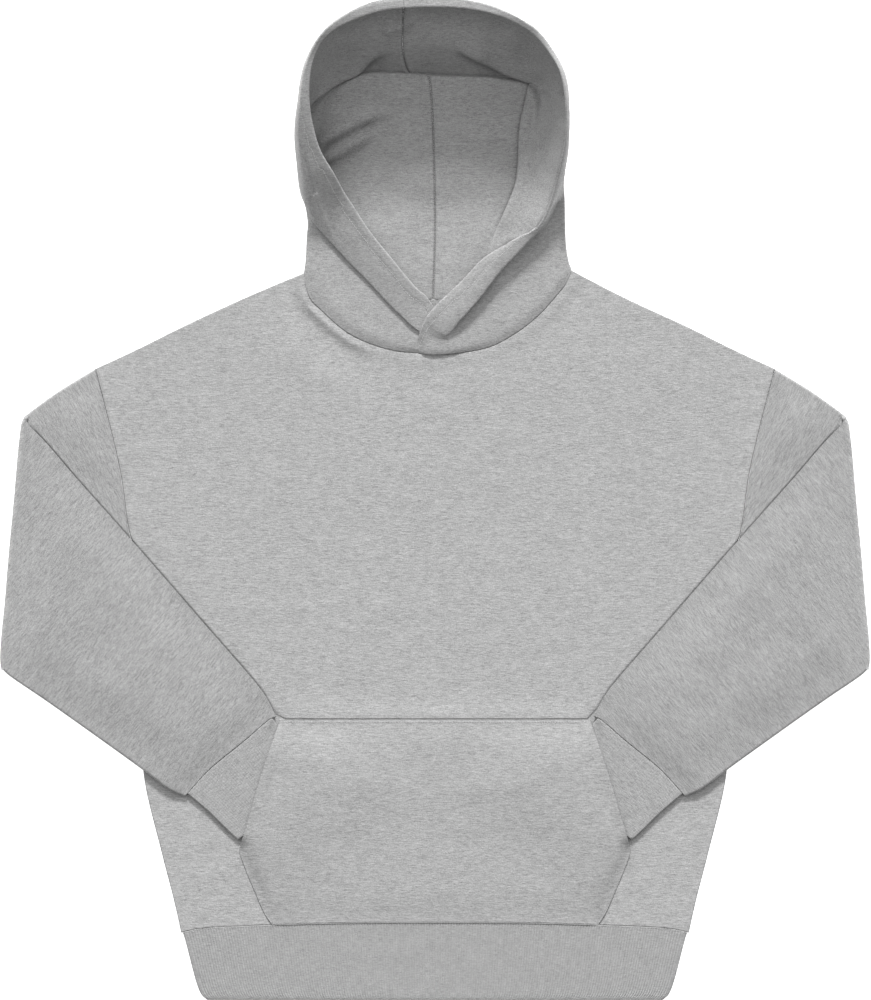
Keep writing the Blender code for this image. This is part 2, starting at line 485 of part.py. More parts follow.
def build_pocket(fleece, group):
    """The kangaroo pocket: one panel on the front, open along both slanted edges."""
    side = np.array(POCKET_SIDE)
    lower, opening = even(side[:5], 4), even(side[4:], 8)
    edge = join_runs(lower, opening)
    share = np.array([0.0, 0.015, 0.04, 0.075, 0.12, 0.17, 0.225, 0.29, 0.38, 0.5])
    share = np.concatenate([share, 1 - share[:-1][::-1]])
    x = (2 * share - 1)
    top = np.stack([x * -edge[-1][0], np.full_like(x, POCKET_TOP_Y)], axis=1)
    top[0], top[-1] = edge[-1], mirror(edge[-1])
    hem = hem_line(FRONT_HEM_STEPS)
    bx = x * -edge[0][0]
    bottom = np.stack([bx, np.interp(bx, hem[:, 0], hem[:, 1])], axis=1)
    bottom[0], bottom[-1] = edge[0], mirror(edge[0])
    plan = patch(bottom, top, edge, mirror(edge))
    grid = raise_to(plan, pocket_height(plan[..., 0], plan[..., 1]))
    sheet("pocket", grid, fleece, group)


def fold_rise(x, y, line, rise, steep, slope):
    """Height that a fold adds: full on its line, down steeply on one side and gently on the other."""
    path = curve(line, 8)
    best = np.full(x.shape, 1e9)
    signed = np.zeros(x.shape)
    for a, b in zip(path[:-1], path[1:]):
        d = b - a
        t = np.clip(((x - a[0]) * d[0] + (y - a[1]) * d[1]) / (d @ d), 0, 1)
        dx, dy = x - a[0] - t * d[0], y - a[1] - t * d[1]
        gap = np.hypot(dx, dy)
        closer = gap < best
        best = np.where(closer, gap, best)
        signed = np.where(closer, np.sign(dx * d[1] - dy * d[0]) * gap, signed)
    width = np.where(signed > 0, slope, steep)
    return rise * (1 - smoothstep(best / width))


def hood_surface(along=HOOD_STEPS_ALONG, across=HOOD_STEPS_ACROSS):
    """The middle of the hood's cloth: one row for each mesh step across, from one front corner round to the other."""
    sections = HOOD_RIGHT_HALF + (HOOD_CENTRE_SEAM,) + HOOD_LEFT_HALF
    lines = np.array([curve(section, along, slopes) for section in sections])
    gaps = np.linalg.norm(np.diff(lines, axis=0), axis=2).mean(axis=1)
    knots = np.concatenate([[0.0], np.cumsum(gaps)])
    grid = curve(lines, across, soft_slopes, knots)
    inside = smoothstep((grid[..., 1] - 215.0) / 40.0)
    low = 1 - smoothstep((grid[..., 2] - 14.0) / 14.0)
    grid[..., 2] += inside * low * fold_rise(
        grid[..., 0], grid[..., 1], HOOD_SIDE_FOLD, SIDE_FOLD_RISE, SIDE_FOLD_STEEP, SIDE_FOLD_SLOPE
    ) * (grid[..., 0] > 20) * back_half(grid.shape, across)
    grid[..., 2] = np.maximum(grid[..., 2], FLEECE / 2)
    for row in range(8 * across - 1, 20 * across + 2):
        if row % across:
            before, after = row - row % across, row - row % across + across
            share = (row % across) / across
            grid[row, 0] = (1 - share) * grid[before, 0] + share * grid[after, 0]
    return grid


def back_half(shape, across):
    """One for the mesh rows that lie on the table, and nought for those of the front."""
    row = np.arange(shape[0])[:, None] / across
    return ((row > 7.5) & (row < 20.5)).astype(float) * np.ones(shape[:2])


def square_off(away, along):
    """The unit part of away that is square to the line that runs along."""
    along = unit(along)
    return unit(away - along * (away * along).sum(axis=1, keepdims=True))


def pinch(shape):
    """How far the cloth is squeezed in the tight folds at the two sides of the neck."""
    row, column = np.indices(shape[:2])
    folds = [(len(HOOD_RIGHT_HALF) + side) * HOOD_STEPS_ACROSS for side in (-7, 7)]
    near = np.min([np.abs(row - fold) for fold in folds], axis=0)
    return FOLD_PINCH * smoothstep(1.6 - near / 2) * smoothstep(1.4 - column / 4)


def unit(vectors):
    return vectors / np.linalg.norm(vectors, axis=-1, keepdims=True)


def heading(grid, axis):
    """The direction of a grid's lines at each point, halfway between the steps before and after it."""
    step = unit(np.diff(grid, axis=axis))
    first, last = np.take(step, [0], axis=axis), np.take(step, [-1], axis=axis)
    return unit(np.concatenate([first, step], axis=axis) + np.concatenate([step, last], axis=axis))


def outward(grid):
    """The unit normal at each point of a grid."""
    return unit(np.cross(heading(grid, 1), heading(grid, 0)))


def clear_of_panels(grid):
    """The hood's grid with its neck edge moved in, so that the wall's corner clears the panels' edges."""
    neck, start = grid[:, 0, :2], grid[:, 1, :2] - grid[:, 0, :2]
    along = heading(neck[:, None], 0)[:, 0]
    square = np.stack([-along[:, 1], along[:, 0]], axis=1)
    square *= np.sign((square * start).sum(axis=1, keepdims=True))
    folds = [(len(HOOD_RIGHT_HALF) + side) * HOOD_STEPS_ACROSS for side in (-7, 7)]
    square[folds] = unit(start[folds])
    lean = np.abs((outward(grid)[:, 0, :2] * square).sum(axis=1)) * FLEECE / 2
    moved = grid.copy()
    shift = square * (HOOD_NECK_GAP + lean)[:, None]
    shift[folds, 0] -= np.sign(neck[folds, 0]) * FOLD_TUCKS_IN
    moved[:, 0, :2] += shift
    moved[:, 1, :2] += shift * 0.5
    return moved


def shell(name, face, back, material, group):
    """A wall between two grids of the same size."""
    form = bmesh.new()
    sides = [[[form.verts.new(p * MM) for p in row] for row in grid] for grid in (face, back)]
    rows, columns = face.shape[:2]
    for side, flip in zip(sides, (False, True)):
        for i in range(rows - 1):
            for j in range(columns - 1):
                quad = (side[i][j], side[i][j + 1], side[i + 1][j + 1], side[i + 1][j])
                form.faces.new(quad[:1] + quad[:0:-1] if flip else quad)
    rim = [(0, j) for j in range(columns)] + [(i, columns - 1) for i in range(1, rows)]
    rim += [(rows - 1, j) for j in range(columns - 2, -1, -1)] + [(i, 0) for i in range(rows - 2, 0, -1)]
    for (i, j), (m, n) in zip(rim, rim[1:] + rim[:1]):
        form.faces.new((sides[0][m][n], sides[0][i][j], sides[1][i][j], sides[1][m][n]))
    bmesh.ops.recalc_face_normals(form, faces=form.faces)
    mesh = bpy.data.meshes.new(name)
    form.to_mesh(mesh)
    form.free()
    mesh.shade_smooth()
    mesh.set_sharp_from_angle(angle=math.radians(60))
    return add_object(name, mesh, material, group)


def turn_fold(grid, walls, row):
    """The two wall points of each place on a sharp fold: the inner one far enough in for both layers to keep their wall."""
    before, after = unit(grid[row - 1] - grid[row]), unit(grid[row + 1] - grid[row])
    into = unit(before + after)
    half_angle = 0.5 * np.arccos(np.clip((before * after).sum(axis=1), -1, 1))
    thick = np.linalg.norm(walls[0][row] - grid[row], axis=1)
    inner = grid[row] + into * np.minimum(thick / np.sin(half_angle), 3.6)[:, None]
    outer = grid[row] - into * thick[:, None]
    first = ((walls[0][row] - grid[row]) * into).sum(axis=1) > 0
    sharp = half_angle < math.radians(50)
    for wall, inside in ((walls[0], first), (walls[1], ~first)):
        wall[row] = np.where((sharp & inside)[:, None], inner, np.where(sharp[:, None], outer, wall[row]))


def build_hood(fleece, group):
    """The two halves of the hood, which meet at the centre seam."""
    grid = hood_surface()
    grid = clear_of_panels(grid)
    middle = len(HOOD_RIGHT_HALF) * HOOD_STEPS_ACROSS
    half_wall = outward(grid) * FLEECE / 2 * (1 - pinch(grid.shape))[..., None]
    walls = [grid + half_wall, grid - half_wall]
    for side in (-7, 7):
        turn_fold(grid, walls, middle + side * HOOD_STEPS_ACROSS)
    seam = np.gradient(grid[middle], axis=0)
    crease = sum(HOOD_STEPS_ALONG[:2])
    gap = np.full((grid.shape[1], 1), HOOD_SEAM_GAP)
    gap[crease : crease + HOOD_STEPS_ALONG[2] + 1] = HOOD_CREASE_GAP
    for name, rows, edge, inner in (
        ("hood_right", slice(None, middle + 1), -1, -2),
        ("hood_left", slice(middle, None), 0, 1),
    ):
        halves = [wall[rows].copy() for wall in walls]
        away = square_off(grid[rows][inner] - grid[rows][edge], seam)
        for half in halves:
            half[edge] += away * gap / 2
            half[..., 2] = np.maximum(half[..., 2], 0.0)
        shell(name, halves[0], halves[1], fleece, group)


def main():
    clear_scene()
    group = bpy.data.collections.new("Pullover hoodie")
    bpy.context.scene.collection.children.link(group)
    fleece = fabric("Heather grey fleece", (0.45, 0.45, 0.45), 0.95)
    rib = fabric("Heather grey rib knit", (0.42, 0.42, 0.42), 0.95)
    build_panels(fleece, group)
    build_sleeves(fleece, group)
    build_cuffs(rib, group)
    build_hem(rib, group)
    build_pocket(fleece, group)
    build_hood(fleece, group)


main()
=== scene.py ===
# %% [markdown]
# A pullover hoodie in heather-grey fleece, laid flat and seen from straight
# above. The hood stands open above the neck, each sleeve is folded once at the
# elbow over the front, and the ribbed cuffs are tucked into the kangaroo
# pocket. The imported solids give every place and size. This lesson dresses each
# of them with a finer wall of cloth, with rolled seam edges, creases, ribs and
# marled yarn.

import math

import bpy
import numpy as np
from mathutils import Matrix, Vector


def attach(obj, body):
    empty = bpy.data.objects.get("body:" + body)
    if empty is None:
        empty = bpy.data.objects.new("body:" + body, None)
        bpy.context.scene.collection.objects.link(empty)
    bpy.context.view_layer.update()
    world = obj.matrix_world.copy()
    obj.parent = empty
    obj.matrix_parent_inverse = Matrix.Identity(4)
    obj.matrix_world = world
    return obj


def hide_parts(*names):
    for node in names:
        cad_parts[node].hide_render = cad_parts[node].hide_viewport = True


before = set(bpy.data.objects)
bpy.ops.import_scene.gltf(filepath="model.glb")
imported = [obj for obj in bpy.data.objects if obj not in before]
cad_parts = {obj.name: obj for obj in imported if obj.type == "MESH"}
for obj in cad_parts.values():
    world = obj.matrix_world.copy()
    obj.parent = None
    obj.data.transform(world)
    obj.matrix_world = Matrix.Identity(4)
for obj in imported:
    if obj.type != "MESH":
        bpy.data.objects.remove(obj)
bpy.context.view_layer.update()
MM = 0.001
print("solids:", sorted(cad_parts))

# %% [markdown]
# A colour picked from a photograph is an sRGB value, but a shader works in
# linear light. One function turns a hex value into the linear numbers that the
# sockets expect, and a second adds a shader node with its settings and links,
# so that a material reads as a short list. Two more start a material and put an
# object into the scene.


# %% Colour, node and object helpers
def to_linear(hex_colour):
    """A hex sRGB colour as linear red, green and blue, and one for full opacity."""
    parts = [int(hex_colour[i : i + 2], 16) / 255 for i in (1, 3, 5)]
    return (*(c / 12.92 if c <= 0.04045 else ((c + 0.055) / 1.055) ** 2.4 for c in parts), 1.0)


def add_node(tree, kind, settings=None, links=None):
    """A new node. settings fill its sockets or options, and links join its sockets to other nodes' outputs."""
    new = tree.nodes.new(kind)
    for name, value in (settings or {}).items():
        if isinstance(name, str) and hasattr(new, name):
            setattr(new, name, value)
        else:
            new.inputs[name].default_value = value
    for name, output in (links or {}).items():
        tree.links.new(output, new.inputs[name])
    return new


def new_material(name):
    """A new material, and the sockets of its one shader."""
    material = bpy.data.materials.new(name)
    material.use_nodes = True
    return material, material.node_tree.nodes["Principled BSDF"].inputs


def new_object(name, data):
    """A new object in the scene."""
    made = bpy.data.objects.new(name, data)
    bpy.context.scene.collection.objects.link(made)
    return made


# %% [markdown]
# The picture was taken from straight above, so the camera looks down. A long
# lens far away keeps the raised hood at the same scale as the flat body, as the
# picture's own long lens did. The frame is 871 by 1000 pixels, and the garment
# fills it at 0.96 mm to a pixel.

# %% Camera
FRAME_PIXELS = (871, 1000)
MM_PER_PIXEL = 0.96
MIDDLE_PIXEL_X = 435.0  # the garment's own middle
CAMERA_HEIGHT = 20.0  # metres

lens_view = FRAME_PIXELS[1] * MM_PER_PIXEL * MM
camera_data = bpy.data.cameras.new("Camera over the garment")
camera_data.sensor_width = 36.0
camera_data.lens = camera_data.sensor_width * CAMERA_HEIGHT / lens_view
camera_data.clip_end = 100.0
camera = new_object("Camera over the garment", camera_data)
camera.location = ((FRAME_PIXELS[0] / 2 - MIDDLE_PIXEL_X) * MM_PER_PIXEL * MM, 0.0, CAMERA_HEIGHT)
bpy.context.scene.camera = camera
print(f"lens {camera_data.lens:.0f} mm, view {lens_view * 1000:.0f} mm high")

# %% [markdown]
# The shadows tell where the light stood. Inside the hood the shade of the crown
# ends in a soft line about 190 mm below a rim that is 75 mm high, and below both
# sleeve ends it reaches the same 15 mm. So one large light stood low beyond the
# hood's end, and most of the rest came from the white room all round. The paper
# was lit from below as well, as it has no shadow at all.

# %% Light and floor
KEY_HEIGHT_DEGREES = 23.0
KEY_SOFTNESS_DEGREES = 8.5
KEY_STRENGTH = 4.3
ROOM_STRENGTH = 0.69
ROOM_TILT = 1.0  # how much brighter the room is beyond the hood than at its middle
PAPER_GLOW = 0.9
FLOOR_SIZE = 12.0
FLOOR_DROP = 0.0004  # metres, to keep the paper just clear of the cloth

key_data = bpy.data.lights.new("Broad light above the hood", "SUN")
key_data.energy = KEY_STRENGTH
key_data.angle = math.radians(KEY_SOFTNESS_DEGREES)
key = new_object("Broad light above the hood", key_data)
key_height = math.radians(KEY_HEIGHT_DEGREES)
key_from = Vector((0.0, math.cos(key_height), math.sin(key_height)))
key.rotation_euler = (-key_from).to_track_quat("-Z", "Y").to_euler()

room = bpy.data.worlds.new("White room")
room.use_nodes = True
background = room.node_tree.nodes["Background"].inputs
background["Color"].default_value = (1.0, 1.0, 1.0, 1.0)
way = add_node(room.node_tree, "ShaderNodeTexCoord").outputs["Generated"]
way = add_node(room.node_tree, "ShaderNodeSeparateXYZ", links={"Vector": way})
tilt = {"operation": "MULTIPLY_ADD", 1: ROOM_STRENGTH * ROOM_TILT, 2: ROOM_STRENGTH}
brightness = add_node(room.node_tree, "ShaderNodeMath", tilt, {0: way.outputs["Y"]})
room.node_tree.links.new(brightness.outputs[0], background["Strength"])
bpy.context.scene.world = room
bpy.context.scene.view_settings.view_transform = "Standard"

sweep, paper = new_material("White paper sweep")
paper["Base Color"].default_value = to_linear("#f8f8f8")
paper["Roughness"].default_value = 0.9
paper["Emission Color"].default_value = (1.0, 1.0, 1.0, 1.0)
paper["Emission Strength"].default_value = PAPER_GLOW
half = FLOOR_SIZE / 2
floor_mesh = bpy.data.meshes.new("floor")
floor_corners = [(-half, -half, 0), (half, -half, 0), (half, half, 0), (-half, half, 0)]
floor_mesh.from_pydata(floor_corners, [], [(0, 1, 2, 3)])
floor_mesh.materials.append(sweep)
floor = new_object("floor", floor_mesh)
floor.location.z = -FLOOR_DROP
print("key light at", KEY_HEIGHT_DEGREES, "degrees over the hood's end")

# %% [markdown]
# Heather or marl cloth is knitted from yarn that is spun of pale and dark
# fibres. The two don't mix evenly, so each course of the knit carries pale and
# dark dashes that run across the cloth. The dashes follow the piece as it was
# cut: level on the body, slanted on a folded sleeve. So each mesh point carries
# its place on the cut cloth, in millimetres, and the noise is read there and not
# in the room. Brushed cotton fleece has no gloss, only a faint fibre sheen.
# Along seams, sharp creases and the edges where one piece lies on another, shade is painted into the colour, so each
# point also carries how much painted shade it gets.

# %% Marled cloth
MARL_LAYERS = (
    # length and width of one patch in millimetres, fineness and strength
    (5.0, 0.62, 2.0, 1.4),  # dashes of dark fibre
    (0.95, 0.85, 1.0, 1.1),  # single fibres, drawn coarser than they are so that they show
    (9.5, 2.2, 1.5, 0.42),  # longer patches where the yarn runs darker or paler
    (26.0, 15.0, 1.0, 0.2),  # broad unevenness of the dye
)
NOISE_ROUGHNESS = 0.62
KNIT_LOOP = 1.6  # one loop of the knit, drawn larger than its 0.9 mm so that it shows
LOOP_DEPTH = 0.0005  # metres
PAINTED_SHADE_KEEPS = 0.42  # how much of its colour cloth keeps under full painted shade
MARL_SLICE = 0.3  # the depth at which flat pieces cut the noise
BRUSHED_COTTON = {"Roughness": 0.92, "Specular IOR Level": 0.2, "Sheen Weight": 0.08, "Sheen Roughness": 0.5}


def heather_cloth(name, pale, dark, contrast=1.0, relief=0.35):
    """Marled cotton knit. Its pale and dark fibres come from noise that is stretched along the courses."""
    material, shader = new_material(name)
    tree = material.node_tree
    place = add_node(tree, "ShaderNodeAttribute", {"attribute_name": "cut_place"}).outputs["Vector"]
    layers, total = [], None
    for length, width, detail, weight in MARL_LAYERS:
        stretch = {"Scale": (1 / length, 1 / width, 1 / width)}
        stretched = add_node(tree, "ShaderNodeMapping", stretch, {"Vector": place})
        grain = {"Scale": 1.0, "Detail": detail, "Roughness": NOISE_ROUGHNESS}
        layers.append(add_node(tree, "ShaderNodeTexNoise", grain, {"Vector": stretched.outputs["Vector"]}))
        less_half = {"operation": "SUBTRACT", 1: 0.5}
        centred = add_node(tree, "ShaderNodeMath", less_half, {0: layers[-1].outputs["Fac"]})
        strength = {"operation": "MULTIPLY", 1: weight * contrast}
        scaled = add_node(tree, "ShaderNodeMath", strength, {0: centred.outputs[0]})
        so_far = {} if total is None else {1: total.outputs[0]}
        total = add_node(tree, "ShaderNodeMath", {"operation": "ADD", 1: 0.5}, {0: scaled.outputs[0], **so_far})
    blend = add_node(tree, "ShaderNodeMix", {"data_type": "RGBA"}, {"Factor": total.outputs[0]})
    for socket, hex_colour in ((6, dark), (7, pale)):  # the two colour sockets of a Mix node
        blend.inputs[socket].default_value = to_linear(hex_colour)
    # Painted shade: the colour is darkened by the shade painted on each point, along seams, creases and edges.
    painted_shade = add_node(tree, "ShaderNodeAttribute", {"attribute_name": "painted_shade"}).outputs["Fac"]
    darken = {"data_type": "RGBA", "blend_type": "MULTIPLY"}
    pressed = add_node(tree, "ShaderNodeMix", darken, {"Factor": painted_shade, 6: blend.outputs[2]})
    pressed.inputs[7].default_value = (PAINTED_SHADE_KEEPS, PAINTED_SHADE_KEEPS, PAINTED_SHADE_KEEPS, 1.0)
    tree.links.new(pressed.outputs[2], shader["Base Color"])
    loops = add_node(tree, "ShaderNodeMapping", {"Scale": (1 / KNIT_LOOP,) * 3}, {"Vector": place})
    fibres = {"Scale": 1.0, "Detail": 2.0}
    fuzz = add_node(tree, "ShaderNodeTexNoise", fibres, {"Vector": loops.outputs["Vector"]})
    both = {0: fuzz.outputs["Fac"], 1: layers[0].outputs["Fac"]}
    height = add_node(tree, "ShaderNodeMath", {"operation": "ADD"}, both)
    raised = {"Strength": relief, "Distance": LOOP_DEPTH}
    bump = add_node(tree, "ShaderNodeBump", raised, {"Height": height.outputs[0]})
    tree.links.new(bump.outputs["Normal"], shader["Normal"])
    for socket, value in BRUSHED_COTTON.items():
        shader[socket].default_value = value
    return material


body_cloth = heather_cloth("Heather grey brushed fleece", "#c4c4c4", "#828282")
# The pocket, the sleeves and the hood are the same fleece as the body, made a few levels darker: painted shade.
pocket_fleece_painted_darker = heather_cloth("Heather grey brushed fleece of the pocket", "#c0c0c0", "#808080")
sleeve_fleece_painted_darker = heather_cloth("Heather grey brushed fleece on the sleeves", "#bababa", "#7b7b7b")
hood_fleece_painted_darker = heather_cloth("Heather grey brushed fleece of the hood", "#bebebe", "#7f7f7f")
rib_cloth = heather_cloth("Heather grey rib knit", "#bababa", "#7b7b7b", contrast=0.95)
thread, spun = new_material("Grey sewing thread")
spun["Base Color"].default_value = to_linear("#c8c8c8")
spun["Roughness"].default_value = 0.6
print("materials:", [m.name for m in (body_cloth, pocket_fleece_painted_darker, sleeve_fleece_painted_darker, hood_fleece_painted_darker, rib_cloth, thread)])

# %% [markdown]
# A pattern cutter draws each piece as a few curves through hand-set points. The
# helpers here do the same: a curve through points, points at chosen shares of
# its length, and a sheet that fills four curves. The steps are short next to a
# seam, where cloth rolls over, and long in the flat middle.


# %% Curves and sheets
def smoothstep(x):
    x = np.clip(x, 0.0, 1.0)
    return x * x * (3 - 2 * x)


def grows(distance, width):
    """Nothing at a line, and one from this width on."""
    return smoothstep(distance / width)


def fades(distance, width):
    """One at a line, and nothing from this width on."""
    return 1 - smoothstep(distance / width)


def near(distance, width):
    """One at a line, and nothing beyond this width on both its sides."""
    return fades(np.abs(distance), width)


def start_slopes(knots, values):
    """The steps between knots, the rise over each step, and slopes that are set only at the two ends."""
    step = np.diff(knots).reshape((-1,) + (1,) * (values.ndim - 1))
    rise = np.diff(values, axis=0) / step
    slope = np.empty_like(values)
    slope[0], slope[-1] = rise[0], rise[-1]
    return step, rise, slope


def soft_slopes(knots, values):
    """Slopes for a round curve, from the points on both sides."""
    step, rise, slope = start_slopes(knots, values)
    slope[1:-1] = (rise[:-1] * step[1:] + rise[1:] * step[:-1]) / (step[:-1] + step[1:])
    return slope


def firm_slopes(knots, values):
    """Slopes for a curve that never swings past its points."""
    step, rise, slope = start_slopes(knots, values)
    before, after = rise[:-1], rise[1:]
    w1, w2 = 2 * step[1:] + step[:-1], step[1:] + 2 * step[:-1]
    same = before * after > 0
    run1, run2 = w1 / np.where(same, before, 1), w2 / np.where(same, after, 1)
    slope[1:-1] = np.where(same, (w1 + w2) / (run1 + run2), 0.0)
    return slope


def curve(points, steps=12, find=soft_slopes, knots=None):
    """Points along a curve through the given ones, with so many steps in each span."""
    values = np.asarray(points, float)
    spans = len(values) - 1
    steps = (steps,) * spans if isinstance(steps, int) else steps
    if knots is None:
        chord = np.linalg.norm(np.diff(values.reshape(len(values), -1), axis=0), axis=1)
        knots = np.concatenate([[0.0], np.cumsum(np.sqrt(np.maximum(chord, 1e-6)))])
    slope = find(knots, values)
    out = []
    for i in range(spans):
        h = knots[i + 1] - knots[i]
        for k in range(steps[i] + (i == spans - 1)):
            t = k / steps[i]
            out.append((1 + 2 * t) * (1 - t) ** 2 * values[i] + t * (1 - t) ** 2 * h * slope[i]
                       + t * t * (3 - 2 * t) * values[i + 1] + t * t * (t - 1) * h * slope[i + 1])
    return np.array(out)


def length_of(line):
    """The length of a line up to each of its points."""
    return np.concatenate([[0.0], np.cumsum(np.linalg.norm(np.diff(line, axis=0), axis=1))])


def from_ends(line):
    """How far each point of a line is from its nearer end."""
    along = length_of(line)
    return np.minimum(along, along[-1] - along)


def y_on(line, x):
    """The y of a line that runs across, at each x."""
    return np.interp(x, line[:, 0], line[:, 1])


def points_at(line, measure, at):
    """The points of a line where its measure, such as its length so far, has these values."""
    return np.stack([np.interp(at, measure, values) for values in line.T], axis=1)


def at_shares(points, shares):
    """The points of a curve at these shares of its length."""
    line = curve(points)
    along = length_of(line)
    return points_at(line, along, np.asarray(shares) * along[-1])


def join_runs(*runs):
    return np.concatenate([runs[0]] + [run[1:] for run in runs[1:]])


def mirror(points):
    return np.asarray(points, float) * np.array([-1.0, 1.0])


# millimetres in from a seam, short where the cloth rolls over
SEAM_STEPS = np.array([0.0, 0.25, 0.6, 1.1, 1.8, 2.7, 4.0, 5.6, 7.6, 10.0, 13.0, 17.0, 22.0])


def between(first, last, steps):
    """The places inside so many even steps."""
    return np.linspace(first, last, steps + 1)[1:-1]


def closing_in(length, middle, start=True, end=True):
    """Shares of a length, with short steps at the ends that are seams."""
    first = SEAM_STEPS / length if start else np.array([0.0])
    last = 1 - SEAM_STEPS[::-1] / length if end else np.array([1.0])
    return np.concatenate([first, between(first[-1], last[0], middle), last])


def closing_in_at(places, length, before, after):
    """The same with a third group of short steps, at these places, and so many steps before and after it."""
    seam = SEAM_STEPS / length
    low, high = between(seam[-1], places[0], before), between(places[-1], 1 - seam[-1], after)
    return np.concatenate([seam, low, places, high, 1 - seam[::-1]])


def fill(low, high, first, last, v):
    """Plan points that fill four curves: low and high across, first and last along, with steps at v."""
    u = length_of(high)
    u = (u / u[-1])[None, :, None]
    v = v[:, None, None]
    sides = (1 - v) * low[None] + v * high[None] + (1 - u) * first[:, None] + u * last[:, None]
    return sides - ((1 - u) * (1 - v) * low[0] + u * (1 - v) * low[-1] + (1 - u) * v * high[0] + u * v * high[-1])


def beside(x, y, line):
    """How far each plan point is right of a line as it runs, negative on its left, and its share of the line."""
    best, signed, share = (np.full(np.shape(x), start) for start in (1e9, 0.0, 0.0))
    along = length_of(line)
    for k, (a, b) in enumerate(zip(line[:-1], line[1:])):
        d = b - a
        t = np.clip(((x - a[0]) * d[0] + (y - a[1]) * d[1]) / max(d @ d, 1e-9), 0, 1)
        dx, dy = x - a[0] - t * d[0], y - a[1] - t * d[1]
        gap = np.hypot(dx, dy)
        closer = gap < best
        best = np.where(closer, gap, best)
        signed = np.where(closer, np.where(dx * d[1] > dy * d[0], gap, -gap), signed)
        share = np.where(closer, (along[k] + t * (along[k + 1] - along[k])) / along[-1], share)
    return signed, share


def away_from(x, y, line):
    """How far each plan point is from a line."""
    return np.abs(beside(x, y, line)[0])


def border(plan):
    """The four edges of a sheet as one line."""
    return np.concatenate([plan[0], plan[:, -1], plan[-1, ::-1], plan[::-1, 0]])


def with_height(plan, height):
    return np.concatenate([plan, np.broadcast_to(height, plan.shape[:-1])[..., None]], axis=-1)


print("steps in from a seam:", SEAM_STEPS)

# %% [markdown]
# Cloth has two faces and a thickness, so each piece is a closed wall: a face
# grid, a back grid and a rim between them. The points are set in bulk from
# arrays, because a piece has tens of thousands of them. A ring wall also closes
# on itself, as a sleeve does. The point attribute keeps the place on the cut
# cloth for the marl.


# %% A wall of cloth
def cloth_wall(name, face, back, cut_place, material, ring=False, sharp=50, painted_shade=0.0):
    """A closed wall between two grids of points in millimetres. A ring wall has no side rims."""
    rows, columns = face.shape[:2]
    count = rows * columns
    number = np.arange(count).reshape(rows, columns)
    right = np.roll(number, -1, axis=1) if ring else number[:, 1:]
    left = number if ring else number[:, :-1]
    quads = np.stack([left[:-1], right[:-1], right[1:], left[1:]], axis=-1).reshape(-1, 4)
    if ring:
        ends = [(number[0], 1), (number[-1], -1)]
        rims = []
        for line, way in ends:
            after = np.roll(line, -1)
            rim = np.stack([after, line, line + count, after + count], axis=-1)
            rims.append(rim[:, ::way])
        rims = np.concatenate(rims)
    else:
        line = np.concatenate([number[0, :-1], number[:-1, -1], number[-1, :0:-1], number[:0:-1, 0]])
        after = np.roll(line, -1)
        rims = np.stack([after, line, line + count, after + count], axis=-1)
    faces = np.concatenate([quads, quads[:, [0, 3, 2, 1]] + count, rims])
    points = np.concatenate([face.reshape(-1, 3), back.reshape(-1, 3)]) * MM
    mesh = bpy.data.meshes.new(name)
    mesh.vertices.add(len(points))
    mesh.vertices.foreach_set("co", points.astype(np.float32).ravel())
    mesh.loops.add(faces.size)
    mesh.loops.foreach_set("vertex_index", faces.astype(np.int32).ravel())
    mesh.polygons.add(len(faces))
    mesh.polygons.foreach_set("loop_start", np.arange(0, faces.size, 4, dtype=np.int32))
    mesh.update(calc_edges=True)
    mesh.validate()
    a, b, c, d = (points[faces[:, k]] for k in range(4))
    volume = (np.cross(b - a, c - a) * a).sum() + (np.cross(c - a, d - a) * a).sum()
    if volume < 0:
        mesh.flip_normals()
    mesh.shade_smooth()
    mesh.set_sharp_from_angle(angle=math.radians(sharp))
    place = mesh.attributes.new("cut_place", "FLOAT_VECTOR", "POINT")
    twice = np.concatenate([cut_place.reshape(-1, 3)] * 2)
    place.data.foreach_set("vector", twice.astype(np.float32).ravel())
    # the shade painted on each point, the same on both faces
    depth = np.concatenate([np.broadcast_to(painted_shade, (rows, columns)).ravel()] * 2)
    depth = np.clip(depth, 0, 1).astype(np.float32)
    mesh.attributes.new("painted_shade", "FLOAT", "POINT").data.foreach_set("value", depth)
    mesh.materials.append(material)
    piece = new_object(name, mesh)
    print(f"{name}: {2 * len(faces)} triangles, {abs(volume) / 6 * 1e6:.0f} cm3")
    return piece


def wear(piece, node, slot, flat, area, rests_on, held="laid"):
    """Puts a piece on the body in place of its solid. The size of cloth that it was cut from is passed in but not
    used.
    """
    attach(piece, "root")
    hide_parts(node)


print("the wall helper is ready")

# %% [markdown]
# The body is two panels that lie on each other: the back on the table and the
# front over it. The pattern pieces are drop shouldered, so the shoulder line
# runs far out and the armhole is nearly straight. Half of each outline is
# written down, for the viewer's left, and the other half is its mirror image.

# %% Outlines of the body, in millimetres
CLOTH = 2.0  # wall of the fleece
BACK_TOP = 2.0
FRONT_LOW, FRONT_TOP = 2.4, 4.4

